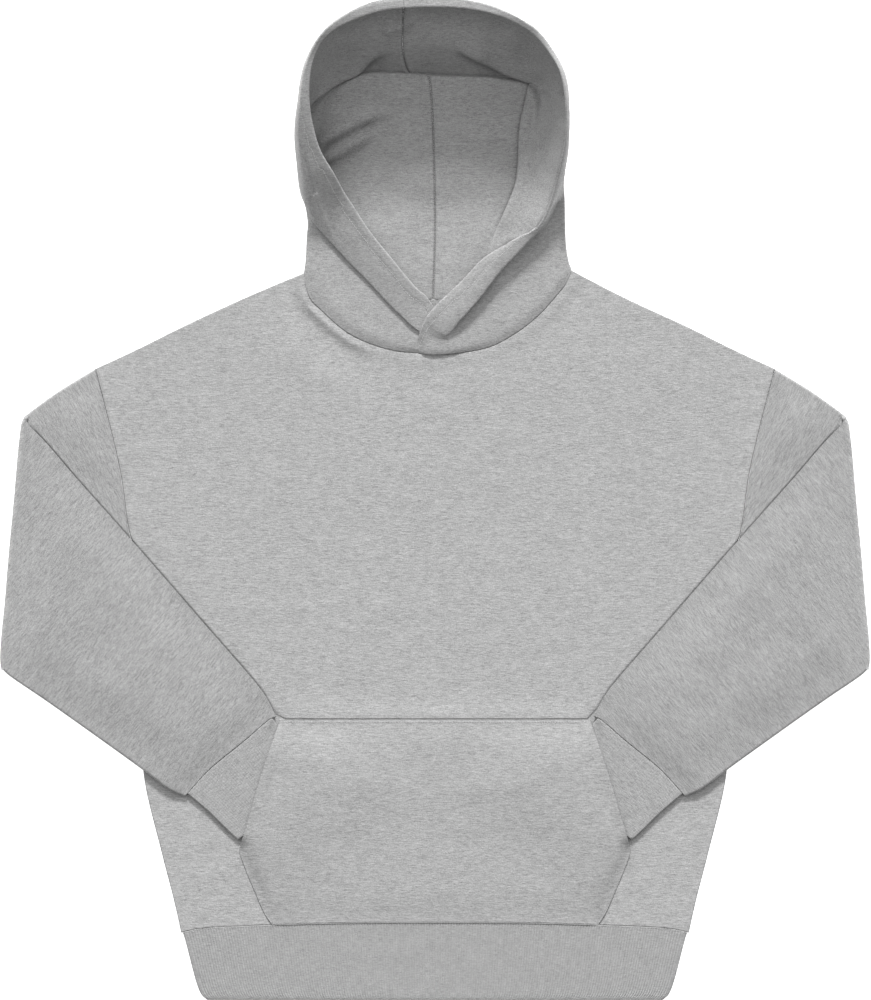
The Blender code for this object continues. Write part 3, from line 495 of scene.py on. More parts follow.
SHOULDER_LINE = ((-124.3, 218.9), (-180.5, 194.9), (-246.7, 164.2), (-285.1, 145.0), (-326.4, 125.8))
ARMHOLE = ((-326.4, 125.8), (-319.7, 99.8), (-309.1, 57.6), (-301.4, 22.1), (-293.3, -31.7), (-273.6, -88.3))
SIDE_SEAM = (
    (-273.6, -88.3), (-280.0, -180.0), (-280.3, -259.0),
    (-263.0, -336.0), (-250.6, -384.0), (-243.6, -415.3),
)
HEM_SEAM = ((-243.6, -415.3), (-226.0, -411.5), (-187.0, -409.2), (-100.0, -406.2), (0.0, -405.6))
SLEEVE_TOP_BACK = (
    # the folded forearm's upper edge
    (-395.3, 77.0), (-373.9, 54.7), (-347.5, 24.0), (-285.1, -46.1),
    (-220.0, -121.0), (-167.0, -182.4), (-159.4, -193.9), (-152.4, -208.0),
)
hem_seam = curve(join_runs(np.array(HEM_SEAM), mirror(HEM_SEAM)[::-1]))
print("hem seam", round(length_of(hem_seam)[-1]), "mm across")

# %% [markdown]
# The hood is the one piece with real depth. It is written as sections that run
# from the neck seam to the face edge, in the same columns as on the pattern: up
# the neck, in under the turned-back band, out to the band's fold, and over it to
# the face edge. Between the sections the surface is a smooth loft. The neck seam
# of the body is the hood's own first column, so that the two always meet.

# %% Sections of the hood: x, y and height of the wall's middle
HOOD_COLUMNS = ("neck", "floor", "crease", "tuck", "under", "outer", "crest", "face")
HOOD_RIGHT_HALF = (
    # hidden corner under the other half
    ((7.7, 139.7, 3.4), (7.7, 143.5, 4.0), (7.7, 146.5, 4.3), (7.7, 149.5, 4.6),
     (7.7, 152.5, 4.8), (7.7, 155.5, 5.0), (7.7, 158.0, 5.2), (7.7, 160.5, 5.4)),
    ((-1.0, 139.4, 3.4), (0.0, 143.5, 4.2), (1.0, 147.8, 4.7), (1.4, 152.6, 5.1),
     (1.9, 157.4, 5.6), (2.4, 162.2, 6.2), (2.9, 169.0, 6.9), (3.4, 175.7, 7.2)),
    # front, from the crossing to the shoulder
    ((-14.4, 140.6, 3.4), (-13.4, 145.0, 4.8), (-12.0, 150.7, 5.2), (-10.5, 156.5, 5.6),
     (-11.5, 159.5, 7.2), (-13.0, 163.0, 7.8), (-9.6, 174.7, 8.8), (-4.8, 191.0, 9.6)),
    ((-43.2, 144.0, 3.4), (-39.8, 151.7, 5.2), (-35.5, 162.2, 5.5), (-25.0, 179.5, 6.2),
     (-27.8, 181.4, 7.7), (-35.5, 180.5, 8.1), (-28.8, 192.0, 10.4), (-18.2, 204.0, 12.2)),
    ((-81.6, 158.9, 3.4), (-75.8, 168.0, 5.2), (-68.2, 182.4, 5.6), (-50.9, 205.4, 6.6),
     (-54.2, 207.4, 8.0), (-62.4, 208.8, 8.5), (-54.7, 219.8, 11.8), (-40.3, 230.4, 14.4)),
    ((-108.5, 181.4, 3.4), (-102.7, 192.0, 5.2), (-94.0, 208.3, 5.6), (-73.9, 234.2, 6.6),
     (-77.8, 236.2, 8.2), (-86.9, 233.8, 8.8), (-79.7, 245.8, 12.8), (-64.3, 260.6, 16.6)),
    ((-121.0, 195.8, 3.4), (-116.6, 210.2, 5.0), (-112.3, 228.5, 5.6), (-93.1, 260.2, 6.8),
     (-97.0, 262.6, 8.6), (-106.1, 255.4, 9.6), (-99.0, 268.3, 15.0), (-79.7, 284.2, 20.4)),
    # the fold at the side of the neck
    ((-124.4, 218.5, 2.2), (-123.4, 230.4, 3.4), (-121.9, 249.6, 4.6), (-115.2, 272.6, 6.6),
     (-116.2, 276.0, 9.4), (-119.5, 273.6, 12.0), (-111.4, 285.1, 20.0), (-88.3, 297.6, 25.0)),
    # back layer and side wall
    ((-112.3, 213.6, 1.0), (-117.6, 235.2, 1.0), (-121.0, 261.1, 1.2), (-122.9, 282.2, 3.5),
     (-125.8, 289.0, 9.5), (-126.7, 294.7, 17.5), (-120.5, 306.2, 30.0), (-96.0, 312.0, 33.0)),
    ((-89.3, 205.0, 1.0), (-104.6, 244.8, 1.0), (-118.1, 283.2, 1.0), (-126.2, 311.0, 2.8),
     (-131.5, 320.6, 13.0), (-133.7, 334.1, 27.0), (-128.2, 338.9, 41.0), (-109.9, 336.0, 41.0)),
    ((-64.3, 198.7, 1.0), (-85.4, 254.4, 1.0), (-106.6, 316.8, 1.0), (-124.3, 364.8, 3.0),
     (-129.6, 371.5, 20.0), (-131.2, 377.3, 39.0), (-128.2, 380.2, 54.0), (-120.0, 381.1, 53.0)),
    # crown
    ((-43.2, 195.4, 1.0), (-60.5, 264.0, 1.0), (-97.0, 383.0, 7.0), (-103.7, 392.6, 3.5),
     (-116.2, 409.9, 26.0), (-122.9, 420.0, 47.0), (-120.5, 422.4, 62.0), (-114.7, 426.2, 62.0)),
    ((-23.0, 193.4, 1.0), (-33.6, 268.8, 1.0), (-66.2, 406.1, 10.0), (-70.0, 409.8, 3.5),
     (-86.4, 434.9, 32.0), (-102.7, 451.7, 57.0), (-101.3, 452.2, 71.0), (-97.0, 449.3, 70.0)),
    ((-12.5, 193.0, 1.0), (-15.4, 268.8, 1.0), (-34.6, 408.0, 11.0), (-41.0, 411.2, 3.5),
     (-51.8, 440.6, 36.0), (-60.5, 475.4, 60.0), (-60.0, 475.8, 74.0), (-57.6, 466.1, 73.0)),
)
HOOD_CENTRE_SEAM = (
    (-1.9, 193.0, 1.0), (0.0, 264.0, 1.0), (-6.2, 406.1, 11.0), (-23.4, 409.8, 3.5),
    (-31.2, 438.7, 36.0), (-29.8, 478.8, 61.0), (-29.8, 479.0, 75.0), (-29.8, 470.4, 75.0),
)
HOOD_LEFT_HALF = (
    # crown
    ((11.5, 193.0, 1.0), (16.3, 268.8, 1.0), (29.8, 404.2, 11.0), (24.0, 407.9, 3.5),
     (27.8, 438.7, 36.0), (41.3, 475.2, 60.0), (41.3, 475.4, 74.0), (41.3, 468.0, 74.0)),
    ((26.9, 193.6, 1.0), (33.6, 268.8, 1.0), (60.5, 402.2, 10.0), (63.4, 405.6, 3.5),
     (78.7, 432.0, 32.0), (93.1, 450.7, 58.0), (92.2, 452.6, 72.0), (87.8, 450.2, 71.0)),
    ((46.1, 195.1, 1.0), (59.5, 264.0, 1.0), (90.2, 386.9, 7.0), (97.0, 397.4, 6.0),
     (107.5, 410.9, 27.0), (116.6, 421.0, 49.0), (116.2, 423.4, 61.0), (112.8, 422.6, 66.0)),
    # side wall and back layer
    ((67.2, 198.2, 1.0), (79.7, 249.6, 1.0), (93.1, 316.8, 4.0), (101.8, 360.0, 12.0),
     (114.2, 376.3, 28.0), (126.7, 387.8, 46.0), (126.6, 390.5, 57.0), (123.6, 392.0, 63.0)),
    ((91.2, 204.5, 1.0), (97.0, 249.6, 1.2), (97.0, 292.8, 4.0), (101.8, 326.4, 12.0),
     (115.2, 342.7, 25.0), (128.4, 355.2, 37.0), (128.0, 357.6, 48.0), (125.4, 359.6, 54.0)),
    ((117.1, 213.6, 1.0), (120.5, 240.0, 1.0), (120.4, 273.6, 2.5), (116.2, 295.7, 8.0),
     (120.9, 309.1, 18.0), (124.4, 320.6, 27.0), (123.6, 323.0, 36.0), (121.0, 325.5, 41.0)),
    # the fold at the side of the neck
    ((130.6, 220.6, 2.2), (127.4, 229.0, 3.6), (124.4, 251.5, 6.0), (123.4, 290.9, 9.0),
     (122.4, 297.6, 14.0), (121.4, 302.6, 20.0), (119.3, 303.8, 27.0), (116.2, 304.8, 32.0)),
    # front, from the shoulder to the crossing
    ((125.8, 208.3, 3.4), (125.3, 220.8, 5.0), (123.4, 240.0, 5.4), (114.7, 280.3, 7.4),
     (113.8, 283.7, 14.5), (113.3, 286.2, 22.0), (111.4, 283.8, 24.0), (108.0, 280.3, 24.2)),
    ((117.1, 196.8, 3.4), (115.7, 208.3, 5.2), (112.3, 226.6, 5.6), (102.7, 261.1, 7.5),
     (103.2, 264.5, 13.5), (104.6, 267.6, 19.5), (101.9, 265.4, 20.8), (96.6, 260.2, 20.0)),
    ((100.8, 178.6, 3.4), (98.9, 189.1, 5.2), (94.1, 206.4, 5.6), (80.6, 238.1, 7.5),
     (81.6, 241.9, 11.8), (85.0, 244.3, 17.2), (79.7, 249.6, 18.4), (71.0, 246.8, 17.2)),
    ((78.7, 160.8, 3.4), (76.8, 169.9, 5.2), (71.5, 184.3, 5.6), (55.7, 212.2, 7.2),
     (57.1, 216.0, 10.8), (61.9, 219.8, 15.4), (56.6, 225.6, 16.5), (46.1, 231.8, 15.2)),
    ((52.8, 146.9, 3.4), (51.4, 153.6, 5.0), (48.0, 165.1, 5.5), (34.6, 189.1, 7.0),
     (36.0, 192.0, 9.8), (41.8, 193.4, 13.7), (36.5, 201.1, 14.6), (25.9, 210.7, 13.4)),
    ((28.8, 141.8, 3.6), (27.8, 146.9, 5.2), (25.9, 153.6, 5.7), (17.3, 168.0, 7.0),
     (18.2, 170.9, 9.2), (23.0, 172.3, 12.0), (19.2, 181.0, 13.0), (9.1, 194.9, 12.1)),
    # corner that lies over the other half
    ((12.5, 139.9, 5.0), (12.8, 144.5, 6.3), (12.5, 149.3, 6.7), (12.5, 154.6, 7.2),
     (11.5, 157.4, 8.4), (10.6, 158.9, 9.5), (6.7, 169.0, 11.2), (-0.5, 185.3, 12.0)),
    ((-3.8, 139.2, 5.2), (-4.3, 144.0, 6.4), (-4.8, 148.8, 6.9), (-5.3, 153.6, 7.3),
     (-5.8, 158.4, 8.2), (-6.2, 163.2, 9.2), (-7.2, 169.0, 10.3), (-9.1, 174.2, 11.0)),
    ((-16.3, 140.8, 4.0), (-16.3, 143.9, 5.0), (-16.5, 145.7, 5.3), (-16.6, 147.5, 5.5),
     (-16.7, 149.3, 5.7), (-16.8, 151.1, 6.0), (-16.8, 152.8, 6.3), (-16.8, 154.5, 6.7)),
)
HOOD_STEPS_ALONG = (10, 40, 14, 14, 18, 12, 10)  # fine steps from each column to the next

hood_sections = HOOD_RIGHT_HALF + (HOOD_CENTRE_SEAM,) + HOOD_LEFT_HALF
CENTRE = len(HOOD_RIGHT_HALF)
RIGHT_FOLD, LEFT_FOLD = CENTRE - 7, CENTRE + 7  # the folds at the two sides of the neck
RIGHT_THROAT, LEFT_THROAT = 2, 28  # the last sections whose neck edge shows at the crossing
# fine steps from each section to the next, closest where creases and the crisp inner fold run
STEPS_ACROSS = [8] * 5 + [10] * 3 + [18] * 8 + [22] * 2 + [18] * 3 + [10] * 3 + [8] * 6


def row_of(section):
    """The loft's row that lies on a section."""
    return sum(STEPS_ACROSS[:section])


def column_of(name):
    """The loft's column that lies on a column of the tables."""
    return sum(HOOD_STEPS_ALONG[: HOOD_COLUMNS.index(name)])


def hood_loft():
    """The middle of the hood's cloth: a row for each step across, from one front corner round to the other."""
    lines = np.array([curve(section, HOOD_STEPS_ALONG, firm_slopes) for section in hood_sections])
    knots = np.concatenate([[0.0], np.cumsum(np.linalg.norm(np.diff(lines, axis=0), axis=2).mean(axis=1))])
    grid = curve(lines, STEPS_ACROSS, soft_slopes, knots)
    grid[..., 2] = np.maximum(grid[..., 2], CLOTH / 2)
    return grid


hood_middle = hood_loft()
neck_line = hood_middle[:, 0, :2]
fold_rows = row_of(RIGHT_FOLD), row_of(LEFT_FOLD)
right_front = neck_line[fold_rows[0] : row_of(RIGHT_THROAT) - 1 : -1]
left_front = neck_line[row_of(LEFT_THROAT) : fold_rows[1] - 1 : -1]
front_neck = np.concatenate([right_front, left_front])
back_neck = neck_line[fold_rows[0] : fold_rows[1] + 1]
for neck in (front_neck, back_neck):
    neck[:, 0] = np.maximum.accumulate(neck[:, 0])
    neck[:, 0] = np.minimum(neck[:, 0], neck[-1, 0])
print("hood loft", hood_middle.shape, "front neck seam", round(length_of(front_neck)[-1]), "mm")

# %% [markdown]
# Both panels are the same sheet with different neck edges. At every seam the cloth rolls down over its last
# millimetre, and on the front shade is also painted along it; together they make a seam read as a thin dark line. Next
# to the neck seam the front also carries the seam allowance underneath: a soft ridge, with a valley beyond it,
# stronger at the viewer's left. Above the hem rib the front is a little gathered, so small ripples run up from that
# seam and fade.

# %% Back and front panels
POCKET_TOP_Y = -210.7
ROLL = 0.9  # the width over which a seam edge rolls down
PANEL_LENGTH, SHOULDER_LENGTH = 575.0, 219.0
# the rows that are drawn together, in millimetres above the edge of what lies on the panel
CLOSE_ROWS = np.array([
    -9.0, -5.0, -2.5, -1.0, -0.3, 0.3, 0.8, 1.3, 1.8, 2.4, 3.1, 4.0, 5.2, 7.0, 9.5, 13.0, 18.0,
])
# half of that edge, the other half is its mirror image
laid_edge = np.array([*curve(SLEEVE_TOP_BACK), (-149.6, POCKET_TOP_Y)])
PRESSED_DEPTH = 0.9  # how deep the forearm's edge presses into what it lies on
# the ridges along the neck seam and the armholes, and the valley beyond the first
NECK_RIDGE_RISE, NECK_RIDGE_AWAY, NECK_RIDGE_WIDTH = 0.7, 6.0, 6.0
NECK_VALLEY_DEPTH, NECK_VALLEY_AWAY, NECK_VALLEY_NEAR, NECK_VALLEY_FAR = 1.8, 15.0, 9.0, 38.0
ARMHOLE_RIDGE_RISE, ARMHOLE_RIDGE_AWAY, ARMHOLE_RIDGE_WIDTH = 0.3, 3.0, 3.0
RIPPLE_LENGTH, RIPPLE_RISE, RIPPLE_FADES = 11.0, 0.16, 34.0  # the gathered edge above the rib
POCKET_LIP, POCKET_LIP_RISE, POCKET_LIP_FADES = 1.2, 0.9, 22.0  # the front stands up above the pocket's seam


def rolled(distance, depth=1.0, roll=ROLL):
    """How far a seam's edge has rolled down, at a distance in from it."""
    t = np.clip(1 - distance / roll, 0, 1)
    return depth * (1 - np.sqrt(1 - t * t))


def pressed_in(distance):
    """How deep cloth is pressed in by a sleeve that lies on it, at a distance out from the sleeve's edge."""
    return PRESSED_DEPTH * (1 - smoothstep(np.where(distance > 0, distance / 2.4, -distance / 8.0)))


def body_outline(neck, shoulder_steps, neck_steps):
    """The top edge from one armhole to the other, with short steps at its ends and corners."""
    steps = closing_in(SHOULDER_LENGTH, shoulder_steps)
    left = at_shares([*SHOULDER_LINE[:0:-1], neck[0]], steps)
    right = at_shares([neck[-1], *mirror(SHOULDER_LINE[1:])], steps)
    along = length_of(neck)
    middle = points_at(neck, along, np.linspace(0, along[-1], neck_steps + 1))
    middle[0], middle[-1] = neck[0], neck[-1]
    return join_runs(left, middle, right)


def body_sheet(neck, shoulder_steps, neck_steps, rows):
    """A whole panel in plan, from the hem seam up to its top edge."""
    top = body_outline(neck, shoulder_steps, neck_steps)
    share = length_of(top)
    hem = at_shares(hem_seam[::12], share / share[-1])
    hem[:, 1] = y_on(hem_seam, hem[:, 0])
    v = closing_in(PANEL_LENGTH, rows)
    side = at_shares(join_runs(np.array(SIDE_SEAM[::-1]), np.array(ARMHOLE[::-1])), v)
    side[-1] = top[0]
    return fill(hem, top, side, mirror(side), v)


def with_close_rows(plan, below, above):
    """The same sheet, with its rows drawn together along the pocket's top and the forearms' upper edges."""
    columns = []
    for line in plan.transpose(1, 0, 2):
        share = length_of(line) / length_of(line)[-1]
        above_edge = line[:, 1] - y_on(laid_edge, -np.abs(line[:, 0]))
        close = np.interp(0.0, above_edge, share) + CLOSE_ROWS / PANEL_LENGTH
        columns.append(points_at(line, share, closing_in_at(close, PANEL_LENGTH, below, above)))
    return np.array(columns).transpose(1, 0, 2)


def unevenness(x, y, size, seed):
    """A slow, uneven rise and fall between minus one and one, the same each time."""
    turn = np.random.default_rng(seed).uniform(0, 2 * math.pi, 6)
    value = np.zeros(np.shape(x))
    for k in range(6):
        a = turn[k]
        wave = (x * math.cos(a) + y * math.sin(a)) * 2 * math.pi / (size * (0.7 + 0.12 * k))
        value += np.sin(wave + turn[5 - k])
    return value / 6


plan = body_sheet(back_neck, 8, 60, 60)
edge = away_from(plan[..., 0], plan[..., 1], border(plan))
back_face = with_height(plan, BACK_TOP - rolled(edge))
back_courses = with_height(plan, MARL_SLICE)
back_panel = cloth_wall("back_panel_cloth", back_face, with_height(plan, 0.0), back_courses, body_cloth)
wear(back_panel, "back_panel", "fleece", (0.66, 0.64), 0.340, ["floor"])

plan = with_close_rows(body_sheet(front_neck, 12, 110, 110), 22, 66)
x, y = plan[..., 0], plan[..., 1]
edge = away_from(x, y, border(plan))
neck_away = away_from(x, y, front_neck[::4])
# the neck seam stands up at its two ends, most at the viewer's left, and is nearly flat at the throat
ridge_share = 0.12 + 0.88 * grows(-x - 45, 50) + 0.2 * grows(x - 80, 40)
flank = np.where(neck_away < NECK_VALLEY_AWAY, NECK_VALLEY_NEAR, NECK_VALLEY_FAR)
valley = near(neck_away - NECK_VALLEY_AWAY, flank)
seam_ridge = NECK_RIDGE_RISE * near(neck_away - NECK_RIDGE_AWAY, NECK_RIDGE_WIDTH) - NECK_VALLEY_DEPTH * valley
armhole_away = np.minimum(away_from(x, y, curve(ARMHOLE)), away_from(x, y, mirror(curve(ARMHOLE))))
hem_away = np.abs(y - y_on(hem_seam, x))
ripple = np.sin(x * 2 * math.pi / RIPPLE_LENGTH + 2.5 * np.sin(x / 37.0)) * (0.6 + 0.4 * np.sin(x / 23.0 + 1))
armhole_ridge = ARMHOLE_RIDGE_RISE * near(armhole_away - ARMHOLE_RIDGE_AWAY, ARMHOLE_RIDGE_WIDTH)
height = FRONT_TOP + ridge_share * seam_ridge + armhole_ridge
height = height + RIPPLE_RISE * ripple * fades(hem_away, RIPPLE_FADES) * grows(hem_away, 3)
height = height + 0.35 * unevenness(x, y, 150.0, 3) * grows(edge, 30)
above = y - POCKET_TOP_Y
lip_fades = fades(above - POCKET_LIP, POCKET_LIP_FADES)
pocket_lip = np.where(above > POCKET_LIP, lip_fades, grows(above, POCKET_LIP))
height = height + POCKET_LIP_RISE * pocket_lip * grows(151.0 - np.abs(x), 4.0)
forearm_edge = curve(SLEEVE_TOP_BACK)
beside_sleeve = np.minimum(-beside(x, y, forearm_edge)[0], beside(x, y, mirror(forearm_edge))[0])
height = height - 0.3 * fades(beside_sleeve, 16.0) - pressed_in(beside_sleeve)
# Painted shade: the colour is darkened along the panel's edges, along the armholes, and beside the forearms' upper
# edges.
painted_shade = 0.6 * near(edge, 1.2) + 0.35 * near(armhole_away, 1.8)
painted_shade = painted_shade + 0.28 * near(beside_sleeve, 1.6) * (beside_sleeve > -1)
front_panel = cloth_wall("front_panel_cloth", with_height(plan, height - rolled(edge)),
                         with_height(plan, FRONT_LOW),
                         with_height(plan, MARL_SLICE), body_cloth, painted_shade=painted_shade)
wear(front_panel, "front_panel", "fleece", (0.66, 0.64), 0.330, [back_panel])

# %% [markdown]
# Each sleeve is a flat tube that leaves the armhole, folds once at the elbow and
# comes back over the body to the cuff. It is built as rings along the arm: flat
# rings, then rings that turn half a circle round the fold, then flat rings on
# top. A little air stays in the forearm, so it is rounder than the upper arm.
# The marl has to follow the cloth round the fold, so the place on the cut cloth
# is found by unfolding: what lies on top is mirrored back over the fold line.

# %% Sleeves
SLEEVE_TOP_OUT = ((-326.4, 125.8), (-361.0, 104.6), (-387.5, 85.6), (-391.7, 82.3))
SLEEVE_UNDER_OUT = ((-273.6, -88.3), (-340.0, -122.0), (-410.0, -161.0))
FOLD_LINE = (
    (-395.2, 77.4), (-397.2, 74.0), (-398.2, 66.0), (-400.3, 48.0), (-404.4, 0.0),
    (-409.0, -48.0), (-413.0, -96.0), (-417.0, -138.0), (-417.4, -155.0), (-416.0, -163.0),
)
SLEEVE_UNDER_BACK = (
    (-413.7, -164.0), (-409.9, -167.6), (-401.0, -174.0), (-374.4, -192.0),
    (-308.2, -239.0), (-280.3, -259.2), (-254.4, -278.4), (-240.0, -284.6),
)
CUFF_SEAM = (
    (-152.4, -208.0), (-158.4, -210.4), (-165.1, -215.6), (-181.4, -229.8),
    (-213.1, -255.4), (-223.2, -265.5), (-240.0, -284.6),
)
FOLD_CORNER = (-393.0, 82.2)  # where the lower layer's top edge meets the fold
SLEEVE_HALF = 2.2  # from the flat sleeve's middle to its face
LOW_MIDDLE, HIGH_MIDDLE = 2.2, 6.9
FOLD_RADIUS = 3.3
FOLD_STEPS = 16
FOLD_SETTLES = 100.0  # over this length past the fold the forearm sinks to its own height
FOREARM_AIR = 3.0  # how much the forearm puffs up
UPPER_ARM_AIR = 1.8  # and the upper arm, where no forearm lies on it
FOREARM_FROM_SIDE, FOREARM_FROM_FOLD, FOREARM_TO_CUFF = 55.0, 60.0, 60.0  # the widths over which that air fades
UPPER_FROM_FOREARM, UPPER_FROM_ARMHOLE, UPPER_TO_FOLD = 34.0, 22.0, 14.0
CUFF_PRESSES = 28.0  # over this length the sleeve's end is pressed down into the cuff
SHARP_SIDE, ROUND_SIDE = 0.45, 2.4  # the forearm's upper edge is pressed sharp and its lower one is round
BODY_GAP, CUFF_GAP = (-0.3, 0.0), (-0.12, 0.12)  # the tube's ends stay clear of the pieces they are sewn to
OUT_LENGTH, BACK_LENGTH = 112.0, 290.0  # armhole to fold, and fold to cuff
ACROSS = 240.0  # the flat sleeve's width at the armhole and the fold
COURSE_ANGLE = math.radians(119)  # the knit's courses run across the upper arm
UP = np.array([0.0, 0.0, 1.0])


def round_end(d, radius=SLEEVE_HALF):
    """The share of its height that a flat tube has at a distance in from its side."""
    t = 1 - np.clip(d / radius, 0, 1)
    return np.sqrt(np.maximum(1 - t * t, 0))


def round_tube(front, behind):
    """Values of a tube's front, and then those of its other side on the way back."""
    return np.concatenate([front, behind[-2:0:-1]])


def flat_ring(line, facing, front, behind):
    """Outer and inner points of a ring round a flat tube. front and behind are how far its sides stand out."""
    centre = (line[0] + line[-1]) / 2
    within = centre + (line - centre) * (1 - 2 * CLOTH / length_of(line)[-1])
    gap = 0.1 * round_end(from_ends(line))
    front_in, behind_in = (gap + np.maximum(height - SLEEVE_HALF, 0) for height in (front, behind))
    outer = round_tube(line + facing * front[:, None], line - facing * behind[:, None])
    inner = round_tube(within + facing * front_in[:, None], within - facing * behind_in[:, None])
    return outer, inner


def wear_pair(node, kind, walls, places, shift, material, *cut, painted_shade=0.0):
    """The wearer's right piece, and its mirror image on the left with the marl moved by shift."""
    pieces = []
    for side, turned, moved in (("right", 1.0, 0.0), ("left", np.array([-1.0, 1.0, 1.0]), shift)):
        outer, inner = (wall * turned for wall in walls)
        name = f"{node}_{side}"
        piece = cloth_wall(f"{name}_{kind}", outer, inner, places + moved, material, ring=True, painted_shade=painted_shade)
        wear(piece, name, *cut, held="folded")
        pieces.append(piece)
    return pieces


def drawn_together(row, strength):
    """A ring of the upper arm, with its points drawn together where the forearm's edge crosses it."""
    along = length_of(row)
    even = along / along[-1]
    free = beside(row[:, 0], row[:, 1], forearm_edge)[0]
    meets = np.clip(np.interp(0.0, free, even), 4.0 / ACROSS, 0.83)
    # where the crossing is nearer than 14 mm to the upper side, the close points lie closer still
    close = meets - CLOSE_ROWS[-2::-1] / ACROSS * min(1.0, meets * ACROSS / 14.0)
    wanted = np.sort(closing_in_at(close, ACROSS, 11, 21))
    return points_at(row, even, even + (wanted - even) * strength)


def build_sleeve():
    """The viewer's left sleeve: outer and inner rings, places on the unfolded cloth, and the shade painted on it."""
    shares = closing_in(ACROSS, 47)
    from_side = np.minimum(shares, 1 - shares) * ACROSS
    radius = FOLD_RADIUS * (0.4 + 0.6 * grows(from_side, 12.0))  # in plan the fold is tighter at its two corners
    reach = np.stack([radius + SLEEVE_HALF * round_end(from_side), 0 * radius], axis=1)
    axis = at_shares(FOLD_LINE, shares) + reach
    armhole = at_shares(ARMHOLE, shares) + np.array(BODY_GAP)
    out_steps, back_steps = closing_in(OUT_LENGTH, 14, end=False), closing_in(BACK_LENGTH, 54, start=False)
    top_out, under_out = at_shares(SLEEVE_TOP_OUT, out_steps), at_shares(SLEEVE_UNDER_OUT, out_steps)
    low_axis = at_shares((FOLD_CORNER, *FOLD_LINE[1:]), shares) + reach
    top_out[0], under_out[0], top_out[-1], under_out[-1] = armhole[0], armhole[-1], low_axis[0], low_axis[-1]
    lower = fill(armhole, low_axis, top_out, under_out, out_steps)
    from_fold = (1 - out_steps) * OUT_LENGTH
    lower = np.array([drawn_together(row, grows(away, 4.0)) for row, away in zip(lower, from_fold)])
    cuff = at_shares(CUFF_SEAM, shares) + np.array(CUFF_GAP)
    top_back, under_back = at_shares(SLEEVE_TOP_BACK, back_steps), at_shares(SLEEVE_UNDER_BACK, back_steps)
    top_back[0], under_back[0], top_back[-1], under_back[-1] = axis[0], axis[-1], cuff[0], cuff[-1]
    upper = fill(axis, cuff, top_back, under_back, back_steps)

    fold = np.array(FOLD_LINE)[[0, -1]]
    run = (fold[1] - fold[0]) / np.linalg.norm(fold[1] - fold[0])
    out_of_fold = np.array([run[1], -run[0]])  # square to the fold line, away from the body
    round_fold = out_of_fold * math.pi * FOLD_RADIUS
    outer, inner, places, painted_shade = [], [], [], []

    def add_ring(middle, facing, front, behind, unfolded, side_radius=SLEEVE_HALF, shade_paint=0.0, edge_shade_paint=0.0):
        side = from_ends(middle)
        heights = [round_end(side) * np.maximum(front, 0.3),
                   round_end(side, side_radius) * np.maximum(behind, 0.3)]
        ring, within = flat_ring(middle, facing, *heights)
        outer.append(ring)
        inner.append(within)
        places.append(round_tube(unfolded, unfolded))
        # Painted shade along the sharp edge of the tube's behind side, which is the forearm's upper edge.
        sharp_half = np.arange(len(side)) < len(side) / 2
        behind_shade_paint = np.maximum(shade_paint, 0.5 * edge_shade_paint * near(side, 1.1) * sharp_half)
        painted_shade.append(round_tube(np.broadcast_to(shade_paint, side.shape), behind_shade_paint))

    for row, share in zip(lower, out_steps):
        half = np.full(len(row), SLEEVE_HALF)
        from_armhole, to_fold = share * OUT_LENGTH, (1 - share) * OUT_LENGTH
        free = -beside(row[:, 0], row[:, 1], forearm_edge)[0]
        full = UPPER_ARM_AIR * grows(free, UPPER_FROM_FOREARM)
        full = full * grows(from_armhole, UPPER_FROM_ARMHOLE) * grows(to_fold, UPPER_TO_FOLD)
        side = from_ends(row)
        full = full * grows(side, 45.0) - 0.9 * pressed_in(free) * grows(side, 6.0)
        # Painted shade at the armhole seam and along the line where the forearm's edge lies on the upper arm.
        shade_paint = np.maximum(0.7 * near(from_armhole, 1.2), 0.5 * near(free, 1.8) * smoothstep(share * 2))
        add_ring(with_height(row, LOW_MIDDLE), UP, half + full - rolled(from_armhole), half, row, shade_paint=shade_paint)
    # Painted shade at the fold's upper corner.
    fold_shade_paint = 0.3 * near(from_side, 3.0) * (shares < 0.5)
    half = np.full(len(axis), SLEEVE_HALF)
    for turn in between(0, 1, FOLD_STEPS):
        angle = math.pi * (turn - 0.5)
        shift = np.array([-math.cos(angle), 0.0, math.sin(angle)])
        line = low_axis + (axis - low_axis) * turn
        centre = with_height(line, LOW_MIDDLE + FOLD_RADIUS)
        centre = centre + shift * with_height(np.stack([radius, radius], axis=1), FOLD_RADIUS)
        add_ring(centre, -shift, half, half, line + round_fold * turn, shade_paint=fold_shade_paint)
    for row, share in zip(upper, back_steps):
        gone, left = share * BACK_LENGTH, (1 - share) * BACK_LENGTH
        at_cuff = fades(left, CUFF_PRESSES)
        height = HIGH_MIDDLE + (2 * FOLD_RADIUS + LOW_MIDDLE - HIGH_MIDDLE) * fades(gone, FOLD_SETTLES)
        height = height - 0.9 * at_cuff
        along, side = length_of(row), from_ends(row)
        air = FOREARM_AIR * grows(side, FOREARM_FROM_SIDE) * grows(gone, FOREARM_FROM_FOLD)
        air = air * (0.15 + 0.85 * grows(left, FOREARM_TO_CUFF))
        uneven = unevenness(row[:, 0], row[:, 1], 95.0, 8)
        air = air + 0.5 * uneven * grows(side, 30.0) * grows(left, 20.0)
        half = np.full(len(row), SLEEVE_HALF)
        mirrored = row - 2 * ((row - fold[0]) @ out_of_fold)[:, None] * out_of_fold
        side_radius = np.where(along < along[-1] / 2, SHARP_SIDE, ROUND_SIDE)
        face = half + air - rolled(left, 0.5) - 0.8 * at_cuff
